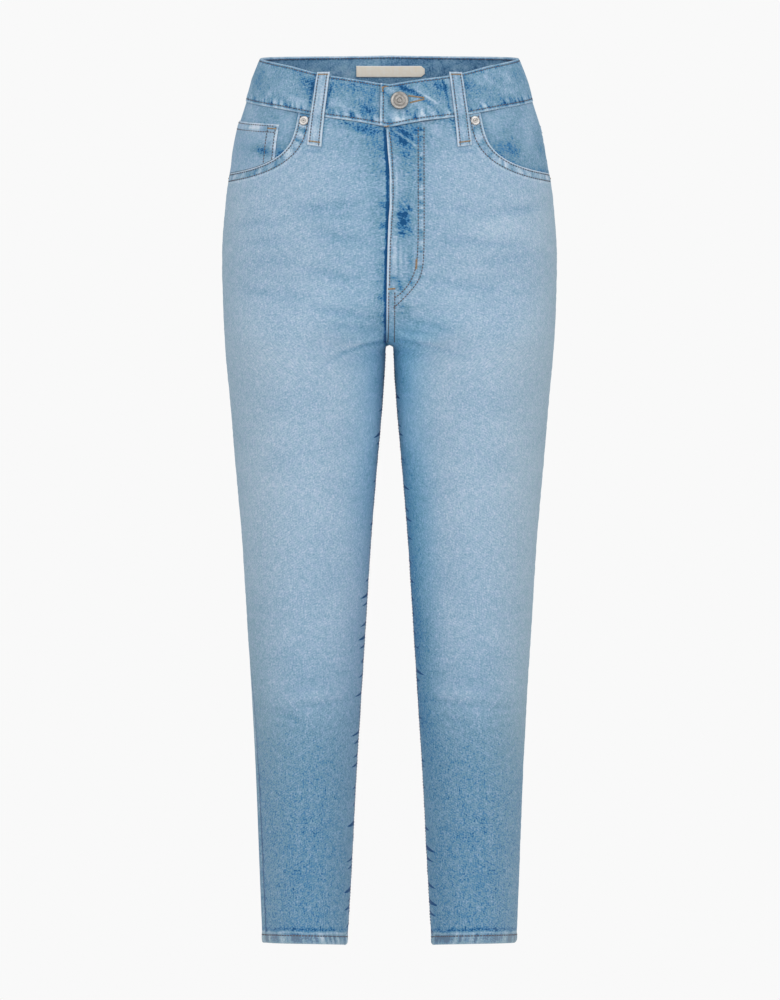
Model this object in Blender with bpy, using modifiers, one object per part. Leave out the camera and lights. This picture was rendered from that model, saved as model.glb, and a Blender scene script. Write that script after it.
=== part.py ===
"""Mom jeans, hollow and upright as they are worn, with nobody in them.

Sizes are millimetres until the points go into a mesh. The origin is the centre of the waist opening
at the waistband's mid height, the front faces -Y, and the wearer's left is +X.
"""

import math

import bmesh
import bpy
import numpy as np
from mathutils import Vector

MM = 0.001

# Cloth thicknesses, and the gap left wherever two pieces are sewn together or lie on each other
WALL = 1.2
BAND_WALL = 2.6
LOOP_WALL = 1.6
BAG_WALL = 1.0
LABEL_WALL = 0.8
SEAM = 0.3
LAYER = 0.4
PATCH_LAYER = 0.7

# The garment's outline, from the waist down: height, half width, depth of the front and of the back from
# the origin's plane, and depth at which the side seam and the inseam run
BODY_COLUMNS = ("height", "wide", "front", "back", "seam")
BODY_ROWS = (
    (48.0, 133.0, 72.0, 74.0, 0.0),
    (25.0, 141.0, 74.0, 76.0, 0.0),
    (0.0, 151.0, 77.0, 79.0, 0.0),
    (-24.0, 157.5, 81.0, 85.0, 0.0),
    (-55.0, 167.0, 87.0, 93.0, 1.0),
    (-88.0, 173.3, 93.0, 103.0, 2.0),
    (-132.0, 180.0, 100.0, 116.0, 3.0),
    (-198.0, 184.3, 104.0, 127.0, 4.0),
    (-242.0, 183.4, 103.0, 123.0, 5.0),
    (-292.0, 181.0, 97.0, 106.0, 6.0),
    (-352.0, 175.5, 90.0, 93.0, 6.0),
    (-418.0, 170.0, 83.0, 86.0, 6.0),
    (-506.0, 162.3, 74.0, 78.0, 6.0),
    (-594.0, 156.8, 66.0, 72.0, 6.0),
    (-682.0, 151.3, 60.0, 69.0, 8.0),
    (-770.0, 146.9, 52.0, 72.0, 12.0),
    (-858.0, 143.6, 46.0, 72.0, 14.0),
    (-949.0, 140.0, 43.0, 71.0, 15.0),
)
# Distance of the inseam from the centre plane, from the crotch down
INSEAM_COLUMNS = ("height", "inner")
INSEAM_ROWS = (
    (-291.5, 0.0),
    (-292.5, 3.9),
    (-297.0, 4.9),
    (-319.0, 6.1),
    (-352.0, 8.3),
    (-418.0, 13.8),
    (-506.0, 20.4),
    (-594.0, 25.9),
    (-682.0, 31.4),
    (-770.0, 36.9),
    (-858.0, 41.3),
    (-949.0, 46.4),
)
CROTCH = -291.5
HEM = -948.5
HEM_TURN = 10.5
# Height over which each rise seam curves under, and the share of it that lies below the crotch
FRONT_CURVE = 85.0
BACK_CURVE = 125.0
CURVE_START = 0.092

# Heights around the waist, by the angle from the centre front
BAND_COLUMNS = ("angle", "top", "low")
BAND_ROWS = (
    (0.0, -10.5, -57.5),
    (12.0, -5.0, -50.8),
    (28.0, 1.5, -44.3),
    (50.0, 13.0, -34.5),
    (90.0, 24.0, -23.5),
    (135.0, 29.5, -17.5),
    (180.0, 32.3, -15.0),
)
YOKE_SIDE = 36.0
YOKE_CENTRE = 76.0
BAND_PROUD = 0.8
BAND_CHAMFER = 0.7
BAND_LAP = 3.0
LAP_END = -3.6
UNDER_END = 371.0
LAP_FLAT = 12.0
LAP_DOWN = 24.0

# Turns are shares of the way from the side seam (0) to the centre or the inseam (1), which are one hip
# arc apart on the front
LOOP_FRONT = (0.65, 0.717)
LOOP_BACK = (0.356, 0.422)
LOOP_CENTRE = 0.967
SCOOP_TURN = 0.583
SCOOP_DEPTH = 63.0
SCOOP_POWER = 3.3
HIP_ARC = 160.0
FRONT_TURNS = (0, 0.1, 0.2, 0.32, 0.42, 0.485, 0.53, 0.568, SCOOP_TURN, *LOOP_FRONT, 0.786, 0.856, 0.9, 1)
LEG_TURNS = (0, 0.072, 0.144, 0.216, 0.288, 0.36, 0.432, 0.504, 0.576, 0.648, 0.72, 0.79, 0.856, 0.92, 1)
BACK_TURNS = (0, 0.1, 0.2, 0.28, *LOOP_BACK, 0.52, 0.62, 0.72, 0.82, 0.91, LOOP_CENTRE, 1)

# Rows of points down a panel: shares of the way to the level row, then heights at the side seam and at
# the rise seam or the inseam, which fan out round the crotch
LEVEL_ROW = -190.0
UPPER_SHARES = (0, 0.16, 0.34, 0.55, 0.78, 1)
FAN_ROWS = (
    *((-210, -208), (-228, -225), (-244, -239), (-259, -251), (-273, -262), (-287, -272), (-300, -280)),
    *((-312, -286), (-323, -290), (-334, CROTCH), (-345, -296), (-357, -307), (-371, -323), (-389, -346)),
    *((-410, -377), (-434, -412), (-461, -449), (-491, -487)),
)
LEG_HEIGHTS = (
    *(-524, -560, -594, -624, -648, -664, -677, -690, -703, -718, -738, -766, -800, -836, -872, -908),
)

# The fly: edge of the lap left of the centre plane, height of its end, and how far it stands up
FLY_EDGE = 1.6
FLY_END = -228.0
FLY_FADE = 14.0
FLY_RAISE = 1.7
FLY_TURN = 0.9
FLY_FOOT = 0.856
SHIELD_ACROSS = (-20.0, 0.0, 16.0, 27.0)
SHIELD_END = -230.0
ZIP_ACROSS = (1.0, 22.0)
ZIP_END = -224.0
ZIP_WALL = 1.0
STRIP_HEIGHTS = (-60.0, -84.0, -108.0, -132.0, -156.0, -178.0, -198.0, -214.0)

# What shows in the pocket mouths rises again away from the mouth's edge, over this passage
FACING_TURNS = 10
FACING_SHARES = (0, 0.2, 0.4, 0.6, 0.78, 0.9, 1)
FACING_BELOW = 16.0
FACING_REACH = 0.74
FACING_RISE = 1.1
RISE_PASSAGE = (4.0, 24.0)
COIN_TURNS = 6
COIN_SHARES = (0, 0.25, 0.5, 0.7, 0.86, 1)
COIN_TOP_SIDE = -44.5
COIN_TOP_INNER = -52.5
BAG_TURNS = 11
BAG_ROWS = 9
BAG_CLEAR = 2.0
BAG_END = -232.0
BAG_RISE = 26.0

# The back pocket covers these columns and rows of the back panel's points
POCKET_COLUMNS = (5, 11)
POCKET_ROWS = (2, 8)
POCKET_SIDE = -244.0
POCKET_POINT = -261.0
LAST_ROW_CLEAR = 0.3

LOOP_SHARES = (0.0, 0.06, 0.3, 0.55, 0.8, 0.97)
LOOP_STEP = 2.5
LOOP_BELOW = 33.0
LOOP_ABOVE = 1.5
LOOP_BOW = 1.0

BUTTON_PLACE = (10.7, -29.0)
BUTTON_RADIUS = 9.2
BUTTON_THICK = 3.4
RIVET_PLACE = (93.2, -49.0)
RIVET_RADIUS = 5.3
RIVET_THICK = 1.7
TURNED_STEPS = 20
LABEL_ACROSS = (-37.3, -18.0, 0.0, 18.0, 39.5)
LABEL_HEIGHTS = (8.4, 14.5, 20.6)

# Main folds: piece, then height and turn at both ends, half width and depth (troughs are positive)
FOLD_GIRTH = 2.4
FOLD_GIRTH_DEPTH = 40.0
FOLD_FADE = 0.6
FOLD_COLUMNS = ("piece", "from_height", "from_turn", "to_height", "to_turn", "half", "depth")
FOLD_ROWS = (
    ("front_right", -296, 0.97, -330, 0.62, 12.0, 2.0),
    ("front_left", -296, 0.97, -312, 0.66, 12.0, 1.8),
    ("front_right", -672, 0.80, -690, 0.35, 11.0, 2.2),
    ("front_right", -704, 0.62, -696, 0.12, 10.0, 1.6),
    ("front_left", -668, 0.85, -688, 0.40, 11.0, 2.0),
    ("front_left", -706, 0.55, -700, 0.15, 10.0, 1.6),
    ("back_right", -664, 0.15, -678, 0.75, 11.0, 2.6),
    ("back_right", -702, 0.30, -690, 0.90, 10.0, 2.0),
    ("back_left", -666, 0.20, -680, 0.80, 11.0, 2.6),
    ("back_left", -704, 0.25, -692, 0.85, 10.0, 2.0),
    ("back_right", -318, 0.85, -330, 0.35, 13.0, 2.2),
    ("back_left", -320, 0.85, -332, 0.40, 13.0, 2.2),
)

DENIM = (0.36, 0.50, 0.62, 1.0)
DENIM_DARK = (0.20, 0.33, 0.46, 1.0)
POCKETING = (0.72, 0.70, 0.64, 1.0)
LABEL_CREAM = (0.83, 0.76, 0.64, 1.0)
METAL = (0.60, 0.57, 0.52, 1.0)


def table(columns, rows):
    """Named columns of a table of numbers, in rising order of the first column."""
    ordered = sorted(rows)
    return {name: np.array([row[i] for row in ordered], float) for i, name in enumerate(columns)}


BODY = table(BODY_COLUMNS, BODY_ROWS)
INSEAM = table(INSEAM_COLUMNS, INSEAM_ROWS)
BAND = table(BAND_COLUMNS, BAND_ROWS)


def smooth(places, values, at):
    """Smooth curve through the rows of a table, which never swings past them."""
    step = np.diff(places)
    rise = np.diff(values) / step
    slope = np.concatenate((rise[:1], np.zeros(len(rise) - 1), rise[-1:]))
    same = rise[:-1] * rise[1:] > 0
    before = (step[:-1] + 2 * step[1:])[same]
    after = (2 * step[:-1] + step[1:])[same]
    slope[1:-1][same] = (before + after) / (before / rise[:-1][same] + after / rise[1:][same])
    at = np.clip(at, places[0], places[-1])
    i = np.clip(np.searchsorted(places, at, side="right") - 1, 0, len(step) - 1)
    t = (at - places[i]) / step[i]
    start = values[i] * (1 + 2 * t) * (1 - t) ** 2 + slope[i] * step[i] * t * (1 - t) ** 2
    return start + values[i + 1] * t * t * (3 - 2 * t) - slope[i + 1] * step[i] * t * t * (1 - t)


def body(name, z):
    return smooth(BODY["height"], BODY[name], z)


def ease(start, end, at):
    """0 before start, 1 after end, with a soft passage between them."""
    t = np.clip((at - start) / (end - start), 0, 1)
    return t * t * (3 - 2 * t)


def ring(z, front):
    """Centre, reach to the side, depth and widest angle of the half section at each height.

    Each leg's ring slides past the centre plane as it rises above the crotch, and is cut off there.
    """
    wide = body("wide", z)
    height = FRONT_CURVE if front else BACK_CURVE
    start = CROTCH - CURVE_START * height
    apart = smooth(INSEAM["height"], INSEAM["inner"], np.minimum(z, start))
    inner = apart - (wide + apart) * ease(start, start + height, z)
    centre, reach = (wide + inner) / 2, (wide - inner) / 2
    seam = body("seam", z)
    depth = body("front", z) + seam if front else body("back", z) - seam
    return centre, reach, depth, seam, np.arccos(-np.clip(centre / reach, 0, 1))


def on_ring(z, angle, front):
    centre, reach, depth, seam, _ = ring(z, front)
    sign = -1 if front else 1
    across = centre + reach * np.cos(angle)
    inseam = np.where(z < CROTCH, smooth(INSEAM["height"], INSEAM["inner"], z), -np.inf)
    return np.stack((np.maximum(across, inseam), seam + sign * depth * np.sin(angle), z + 0 * angle), -1)


def surface(z, turn, front, end=None):
    """Points of the outer surface of the wearer's left half, and the directions straight out of it.

    A row's points turn from the side seam to the centre or the inseam, which it meets at height end.
    """
    z, turn = np.broadcast_arrays(np.asarray(z, float), np.asarray(turn, float))
    angle = turn * ring(z if end is None else end, front)[4]
    tiny = 0.01
    along = on_ring(z, angle + tiny, front) - on_ring(z, angle - tiny, front)
    up = on_ring(z + 1, angle, front) - on_ring(z - 1, angle, front)
    out = np.cross(along, up) * (-1 if front else 1)
    points = on_ring(z, angle, front)
    above = (z >= CROTCH) * np.clip(1 - points[..., 0] / 6, 0, 1)
    out[..., 0] *= 1 - above
    return points, out / np.linalg.norm(out, axis=-1, keepdims=True)


def band_edge(name, front, turn):
    angle = 90 * (1 - turn) if front else 90 * (1 + turn)
    return smooth(BAND["angle"], BAND[name], angle)


def scoop(turn):
    """Height of the pocket mouth's edge, from the side seam to its corner at the waistband."""
    share = np.clip(turn / SCOOP_TURN, 0, 1)
    corner = band_edge("low", True, SCOOP_TURN)
    return corner - SCOOP_DEPTH * (1 - share**SCOOP_POWER) ** (1 / SCOOP_POWER)


def front_top(turn):
    return np.where(turn < SCOOP_TURN, scoop(turn), band_edge("low", True, turn))


def yoke_seam(turn):
    drop = YOKE_SIDE + (YOKE_CENTRE - YOKE_SIDE) * np.asarray(turn, float)
    return band_edge("low", False, turn) - drop


def folds(name, z, turn):
    """How far the piece's folds draw its surface in."""
    girth = FOLD_GIRTH * (body("front", z) + FOLD_GIRTH_DEPTH)
    total = 0 * z
    for row in FOLD_ROWS:
        fold = dict(zip(FOLD_COLUMNS, row))
        if fold["piece"] != name:
            continue
        start = np.array((fold["from_turn"], fold["from_height"]))
        end = np.array((fold["to_turn"], fold["to_height"]))
        across, rise = (end[0] - start[0]) * girth, end[1] - start[1]
        dx, dz = (turn - start[0]) * girth, z - start[1]
        share = np.clip((dx * across + dz * rise) / (across**2 + rise**2), 0, 1)
        apart = np.hypot(dx - share * across, dz - share * rise)
        fade = 1 - FOLD_FADE * np.abs(2 * share - 1)
        total = total + fold["depth"] * fade * np.exp(-((apart / fold["half"]) ** 2))
    return total


def material(name, colour, roughness, metallic):
    look = bpy.data.materials.new(name)
    look.use_nodes = True
    shader = look.node_tree.nodes["Principled BSDF"]
    shader.inputs["Base Color"].default_value = colour
    shader.inputs["Roughness"].default_value = roughness
    shader.inputs["Metallic"].default_value = metallic
    look.diffuse_color = colour
    return look


def add_mesh(name, mesh, look):
    part = bpy.data.objects.new(name, mesh)
    mesh.materials.append(look)
    bpy.data.collections["mom_jeans"].objects.link(part)
    return part


def wall(name, outer, inner, look):
    """Closed wall between an outer and an inner grid of points."""
    bm = bmesh.new()
    skins = [[[bm.verts.new(Vector(p) * MM) for p in row] for row in skin] for skin in (outer, inner)]
    rows, columns = outer.shape[:2]
    for skin in skins:
        for r in range(rows - 1):
            for c in range(columns - 1):
                bm.faces.new((skin[r][c], skin[r][c + 1], skin[r + 1][c + 1], skin[r + 1][c]))
    front, back = skins
    for c in range(columns - 1):
        for r in (0, rows - 1):
            bm.faces.new((front[r][c], front[r][c + 1], back[r][c + 1], back[r][c]))
    for r in range(rows - 1):
        for c in (0, columns - 1):
            bm.faces.new((front[r][c], front[r + 1][c], back[r + 1][c], back[r][c]))
    bmesh.ops.recalc_face_normals(bm, faces=bm.faces)
    mesh = bpy.data.meshes.new(name)
    bm.to_mesh(mesh)
    bm.free()
    mesh.shade_smooth()
    mesh.set_sharp_from_angle(angle=math.radians(40))
    return add_mesh(name, mesh, look)


def patch(name, z, turn, front, left, level, thick, look):
    """Wall on the garment's surface: its outer face lies level millimetres out from it."""
    points, out = surface(z, turn, front)
    level = np.broadcast_to(level, z.shape)[..., None]
    thick = np.broadcast_to(thick, z.shape)[..., None]
    skins = [points + out * level, points + out * (level - thick)]
    if not left:
        skins = [skin * (-1, 1, 1) for skin in skins]
    return wall(name, *skins, look)


def clear_seams(points, z, front, centre):
    """Keeps a panel of the left half clear of the side seam, the inseam and the centre seam."""
    seam = body("seam", z)
    if front:
        points[..., 1] = np.minimum(points[..., 1], seam - SEAM / 2)
    else:
        points[..., 1] = np.maximum(points[..., 1], seam + SEAM / 2)
    trunk = z[:, -1] > CROTCH
    points[..., 0] = np.maximum(points[..., 0], SEAM / 2)
    points[trunk, -1, 0] = centre[trunk]


def panel_rows(front):
    """Heights and turns of a leg panel's points, from its upper edge down to the hem."""
    upper = np.array(FRONT_TURNS if front else BACK_TURNS, float)
    lower = np.array(LEG_TURNS, float) if front else upper
    top = (front_top(upper) if front else yoke_seam(upper)) - SEAM / 2
    shares = np.array(UPPER_SHARES)[:, None]
    hem = (HEM + HEM_TURN + 1.5, HEM + HEM_TURN, HEM)
    level_rows = [(height, height) for height in (*LEG_HEIGHTS, *hem)]
    outer, inner = np.array((*FAN_ROWS, *level_rows), float).T[..., None]
    z = np.concatenate((top + shares * (LEVEL_ROW - top), outer + (inner - outer) * lower**3))
    mix = ease(0.5, 1.0, shares)
    return z, np.concatenate((upper + mix * (lower - upper), np.repeat(lower[None], len(outer), 0)))


def panel(name, front, left, look):
    """Leg panel from the waistband, the pocket mouth or the yoke down to the hem."""
    z, turn = panel_rows(front)
    level = -folds(name, z, turn)
    centre = np.full(len(z), SEAM / 2)
    if front:
        lapped = ease(FLY_END - FLY_FADE, FLY_END, z[:, -1])
        edge = -FLY_EDGE if left else FLY_EDGE + SEAM
        centre = centre + (edge - centre) * lapped
        if left:
            level = level + FLY_RAISE * ease(FLY_FOOT, FLY_TURN, turn) * ease(FLY_END - FLY_FADE, FLY_END, z)
    points, out = surface(z, turn, front, z[:, -1:])
    thick = np.where(z <= HEM + HEM_TURN, 2 * WALL, WALL)
    skins = [points + out * level[..., None], points + out * (level - thick)[..., None]]
    for skin in skins:
        clear_seams(skin, z, front, centre)
    if not left:
        skins = [skin * (-1, 1, 1) for skin in skins]
    return wall(name, *skins, look)


def around(z, angle):
    """Surface points and outward directions right round the waist, by the angle from the centre front."""
    folded = np.abs((angle + 180) % 360 - 180)
    front = folded <= 90
    turn = np.where(front, 1 - folded / 90, folded / 90 - 1)
    ahead, ahead_out = surface(z, turn, True)
    behind, behind_out = surface(z, turn, False)
    points = np.where(front[..., None], ahead, behind)
    out = np.where(front[..., None], ahead_out, behind_out)
    sign = np.where((angle + 360) % 360 > 180, -1.0, 1.0)
    points[..., 0] *= sign
    out[..., 0] *= sign
    return points, out


def waistband(look):
    """Doubled strip right round the waist, whose left end laps over its right end at the front."""
    front = 90 * (1 - np.array(FRONT_TURNS[1:-1]))
    back = 90 * (1 + np.array(BACK_TURNS))
    half = sorted({*front, *back})
    stations = [LAP_END, 0.4, 7.4, LAP_FLAT, *[a for a in half if a > LAP_FLAT + 1]]
    stations += [360 - a for a in reversed(half[:-1])] + [360, 366, UNDER_END]
    angle = np.array(stations)
    folded = np.abs((angle + 180) % 360 - 180)
    top = smooth(BAND["angle"], BAND["top"], folded)
    low = smooth(BAND["angle"], BAND["low"], folded) + SEAM / 2
    level = BAND_PROUD + BAND_LAP * (1 - ease(LAP_FLAT, LAP_DOWN, angle))
    z = np.array((low, low + BAND_CHAMFER, (low + top) / 2, top - BAND_CHAMFER, top))
    sunk = np.array((BAND_CHAMFER, 0, 0, 0, BAND_CHAMFER))[:, None]
    points, out = around(z, np.broadcast_to(angle, z.shape))
    outer = points + out * (level - sunk)[..., None]
    inner = points + out * (level - BAND_WALL + sunk)[..., None]
    return wall("waistband", outer, inner, look)


def belt_loop(name, angles, look):
    """Strip on the waistband, sewn down above it and on the panel below it."""
    angle = np.array(angles, float)
    folded = np.abs((angle + 180) % 360 - 180)
    top = smooth(BAND["angle"], BAND["top"], folded) + LOOP_ABOVE
    low = smooth(BAND["angle"], BAND["low"], folded)
    shares = np.array(LOOP_SHARES)[:, None]
    z = np.concatenate((top + shares * (low - top), [low - LOOP_STEP], [low - LOOP_BELOW]))
    on_band = BAND_PROUD + LAYER + LOOP_BOW * 4 * shares * (1 - shares)
    rest = np.array((BAND_PROUD + LAYER, LAYER, LAYER))[:, None]
    level = np.concatenate((on_band[:-1], rest))
    points, out = around(z, np.broadcast_to(angle, z.shape))
    skins = [points + out * (level + LOOP_WALL)[..., None], points + out * (level + 0 * z)[..., None]]
    return wall(name, *skins, look)


def yoke(side, left, look):
    """Back yoke between the waistband and the back panel."""
    turn = np.array(BACK_TURNS, float)
    top = band_edge("low", False, turn) - SEAM / 2
    low = yoke_seam(turn) + SEAM / 2
    z = top + np.array((0, 0.35, 0.7, 1))[:, None] * (low - top)
    turns = np.broadcast_to(turn, z.shape)
    points, out = surface(z, turns, False)
    skins = [points.copy(), points - out * WALL]
    for skin in skins:
        clear_seams(skin, z, False, np.full(len(z), SEAM / 2))
    if not left:
        skins = [skin * (-1, 1, 1) for skin in skins]
    return wall("yoke_" + side, *skins, look)


def pocket_facing(name, left, look):
    """Hip piece behind the pocket mouth, flush with the panel away from the mouth's edge."""
    turn = np.array(FRONT_TURNS[:FACING_TURNS])
    top = band_edge("low", True, turn) - SEAM / 2
    share = np.clip(turn / FACING_REACH, 0, 1)
    low = top - (SCOOP_DEPTH + FACING_BELOW) * (1 - share**SCOOP_POWER) ** (1 / SCOOP_POWER)
    z = top + np.array(FACING_SHARES)[:, None] * (low - top)
    turns = np.broadcast_to(turn, z.shape).copy()
    turns[:, 0] = SEAM / 2 / (body("front", z[:, 0]) * math.pi / 2)
    clear = np.minimum(z - scoop(turn), (SCOOP_TURN - turn) * HIP_ARC)
    level = -WALL - LAYER + FACING_RISE * ease(*RISE_PASSAGE, clear)
    return patch(name, z, turns, True, left, level, WALL, look)


def coin_pocket(look):
    """Small pocket on the right facing, cut off by the edge of the pocket mouth."""
    turn = np.array(FRONT_TURNS[:COIN_TURNS])
    top = COIN_TOP_SIDE + (COIN_TOP_INNER - COIN_TOP_SIDE) * turn / turn[-1]
    low = scoop(turn) + SEAM
    z = top + np.array(COIN_SHARES)[:, None] * (low - top)
    turns = np.broadcast_to(turn, z.shape).copy()
    turns[:, 0] = SEAM / (body("front", z[:, 0]) * math.pi / 2)
    clear = np.minimum(z - scoop(turn), (SCOOP_TURN - turn) * HIP_ARC)
    level = FACING_RISE * ease(*RISE_PASSAGE, clear)
    return patch("coin_pocket", z, turns, True, False, level, WALL, look)


def pocket_bag(name, left, look):
    """Plain layer of pocketing behind the facing and the front panel."""
    turn = np.array(FRONT_TURNS[:BAG_TURNS])
    top = band_edge("low", True, turn) - SEAM
    low = BAG_END + BAG_RISE * (turn / turn[-1]) ** 3
    z = top + np.linspace(0, 1, BAG_ROWS)[:, None] * (low - top)
    turns = np.broadcast_to(turn, z.shape).copy()
    turns[:, 0] = BAG_CLEAR / (body("front", z[:, 0]) * math.pi / 2)
    return patch(name, z, turns, True, left, -2 * WALL - 2 * LAYER, BAG_WALL, look)


def back_pocket(name, left, look):
    """Plain patch pocket with a pointed lower edge, made from the back panel's points."""
    z, turn = panel_rows(False)
    points, out = surface(z, turn, False, z[:, -1:])
    columns = range(*POCKET_COLUMNS)
    share = np.linspace(0, 1, len(columns))
    low = POCKET_SIDE + (POCKET_POINT - POCKET_SIDE) * (1 - np.abs(2 * share - 1))
    last = np.array([np.interp(-height, -z[:, c], range(len(z))) for height, c in zip(low, columns)])
    rows = [np.full(len(columns), float(row)) for row in range(*POCKET_ROWS)]
    rows = np.array((*rows, np.minimum(POCKET_ROWS[1], last - LAST_ROW_CLEAR), last))
    above = rows.astype(int)
    part = (rows - above)[..., None]
    skins = []
    for level in (PATCH_LAYER + WALL, PATCH_LAYER):
        skin = points + out * level
        skins.append(skin[above, columns] * (1 - part) + skin[above + 1, columns] * part)
    if not left:
        skins = [skin * (-1, 1, 1) for skin in skins]
    return wall(name, *skins, look)


def centre_strip(name, across, heights, level, thick, look):
    """Strip beside the centre front, between two distances from the centre plane."""
    z = np.repeat(np.array(heights, float)[:, None], len(across), 1)
    x = np.array(across, float)
    points, out = surface(z, np.arccos(np.abs(x) / body("wide", z)) / ring(z, True)[4], True)
    points[..., 0] *= np.where(x < 0, -1, 1)
    out[..., 0] *= np.where(x < 0, -1, 1)
    return wall(name, points + out * level, points + out * (level - thick), look)


def turned(name, profile, place, level, look):
    """Turned metal piece standing on the surface at a place given by its x and its height."""
    x, z = place
    turn = math.acos(abs(x) / float(body("wide", z))) / (math.pi / 2)
    points, out = surface(np.array(float(z)), np.array(turn), True)
    mirrored = (-1 if x < 0 else 1, 1, 1)
    out = Vector(out * mirrored)
    mesh = bpy.data.meshes.new(name)
    bm = bmesh.new()
    line = [bm.verts.new((radius * MM, 0, height * MM)) for radius, height in profile]
    for a, b in zip(line, line[1:]):
        bm.edges.new((a, b))
    bm.to_mesh(mesh)
    bm.free()
    part = add_mesh(name, mesh, look)
    spin = part.modifiers.new("Turned", "SCREW")
    spin.steps = spin.render_steps = TURNED_STEPS
    spin.use_merge_vertices = True
    spin.merge_threshold = 0.00001
    spin.use_smooth_shade = True
    part.rotation_euler = out.to_track_quat("Z", "Y").to_euler()
    part.location = (Vector(points * mirrored) + out * level) * MM
    return part


def button_profile():
    radius, thick = BUTTON_RADIUS, BUTTON_THICK
    return (
        (0, thick - 0.5),
        (radius * 0.42, thick - 0.5),
        (radius * 0.52, thick - 1.0),
        (radius * 0.72, thick - 0.9),
        (radius * 0.86, thick - 0.2),
        (radius * 0.95, thick - 0.3),
        (radius, thick - 0.9),
        (radius * 0.93, thick - 1.5),
        (radius * 0.5, thick - 1.8),
        (radius * 0.46, 0),
        (0, 0),
    )


def rivet_profile():
    radius, thick = RIVET_RADIUS, RIVET_THICK
    return (
        (0, thick),
        (radius * 0.3, thick - 0.2),
        (radius * 0.42, thick - 0.7),
        (radius * 0.6, thick - 0.5),
        (radius * 0.85, thick - 0.7),
        (radius, 0.3),
        (radius * 0.95, 0),
        (0, 0),
    )


def waist_label(look):
    """Plain label sewn inside the back of the waistband."""
    x = np.array(LABEL_ACROSS)
    z = np.repeat(np.array(LABEL_HEIGHTS)[:, None], len(x), 1)
    turn = np.arccos(np.abs(x) / body("wide", z)) / (math.pi / 2)
    points, out = surface(z, turn, False)
    points[..., 0] *= np.where(x < 0, -1, 1)
    out[..., 0] *= np.where(x < 0, -1, 1)
    level = BAND_PROUD - BAND_WALL - SEAM
    return wall("waist_label", points + out * level, points + out * (level - LABEL_WALL), look)


def main():
    for thing in list(bpy.data.objects):
        bpy.data.objects.remove(thing, do_unlink=True)
    bpy.context.scene.collection.children.link(bpy.data.collections.new("mom_jeans"))
    denim = material("light blue denim", DENIM, 0.85, 0.0)
    inset = material("denim in the pocket mouths", DENIM_DARK, 0.85, 0.0)
    bagging = material("cotton pocketing", POCKETING, 0.9, 0.0)
    cream = material("cream label cloth", LABEL_CREAM, 0.7, 0.0)
    metal = material("brushed silver metal", METAL, 0.4, 1.0)

    for side in ("left", "right"):
        left = side == "left"
        panel("front_" + side, True, left, denim)
        panel("back_" + side, False, left, denim)
        yoke(side, left, denim)
        pocket_facing("pocket_facing_" + side, left, inset)
        pocket_bag("pocket_bag_" + side, left, bagging)
        back_pocket("back_pocket_" + side, left, denim)
        sign = 1 if left else -1
        front_loop = [90 * (1 - turn) for turn in reversed(LOOP_FRONT)]
        back_loop = [90 * (1 + turn) for turn in LOOP_BACK]
        belt_loop("belt_loop_front_" + side, [sign * a for a in front_loop], denim)
        belt_loop("belt_loop_back_" + side, [sign * a for a in back_loop], denim)
        turned("rivet_" + side, rivet_profile(), (sign * RIVET_PLACE[0], RIVET_PLACE[1]), SEAM, metal)
    waistband(denim)
    centre_loop = 90 * (1 + LOOP_CENTRE)
    belt_loop("belt_loop_centre", [centre_loop, 180, 360 - centre_loop], denim)
    coin_pocket(inset)
    shield_heights, zip_heights = (*STRIP_HEIGHTS, SHIELD_END), (*STRIP_HEIGHTS, ZIP_END)
    centre_strip("fly_shield", SHIELD_ACROSS, shield_heights, -WALL - 1.5 * LAYER, WALL, inset)
    centre_strip("zip", ZIP_ACROSS, zip_heights, FLY_RAISE - WALL - 2 * LAYER, ZIP_WALL, metal)
    lap_level = BAND_PROUD + BAND_LAP + SEAM
    turned("button", button_profile(), BUTTON_PLACE, lap_level, metal)
    waist_label(cream)


main()
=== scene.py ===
# %% [markdown]
# # Mom jeans in light blue denim
# The jeans hang hollow and upright, as if worn, with the waist and both hems open. Each cut piece is its own
# thin shell of cloth that follows the solid it replaces, so the seams fall where a maker would sew them.
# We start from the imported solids, which give every place and size.

# %% Load the frame
import math

import bmesh
import bpy
import numpy as np
from mathutils import Matrix, Vector


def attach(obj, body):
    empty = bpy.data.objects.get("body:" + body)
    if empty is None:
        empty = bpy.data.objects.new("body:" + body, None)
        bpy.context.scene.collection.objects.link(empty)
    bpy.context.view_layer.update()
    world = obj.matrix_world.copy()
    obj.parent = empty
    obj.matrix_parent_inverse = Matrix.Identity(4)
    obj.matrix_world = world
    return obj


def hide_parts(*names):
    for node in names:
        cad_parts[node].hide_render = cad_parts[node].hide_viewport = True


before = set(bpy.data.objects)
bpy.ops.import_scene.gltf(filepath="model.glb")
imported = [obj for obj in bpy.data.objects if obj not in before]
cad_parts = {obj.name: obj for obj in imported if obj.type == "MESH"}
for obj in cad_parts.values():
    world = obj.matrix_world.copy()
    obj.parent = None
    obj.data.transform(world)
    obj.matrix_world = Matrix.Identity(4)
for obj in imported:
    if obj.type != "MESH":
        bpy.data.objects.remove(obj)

scene = bpy.context.scene
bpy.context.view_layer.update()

# %% [markdown]
# ## The body of the jeans
# Denim on a leg is a tube that changes from row to row. A short table of heights with the half width and the
# two depths is enough to draw it, and smooth curves between the rows keep it free of kinks. Sizes are in
# millimetres; the origin is the centre of the waist opening, the front faces -Y.

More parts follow.
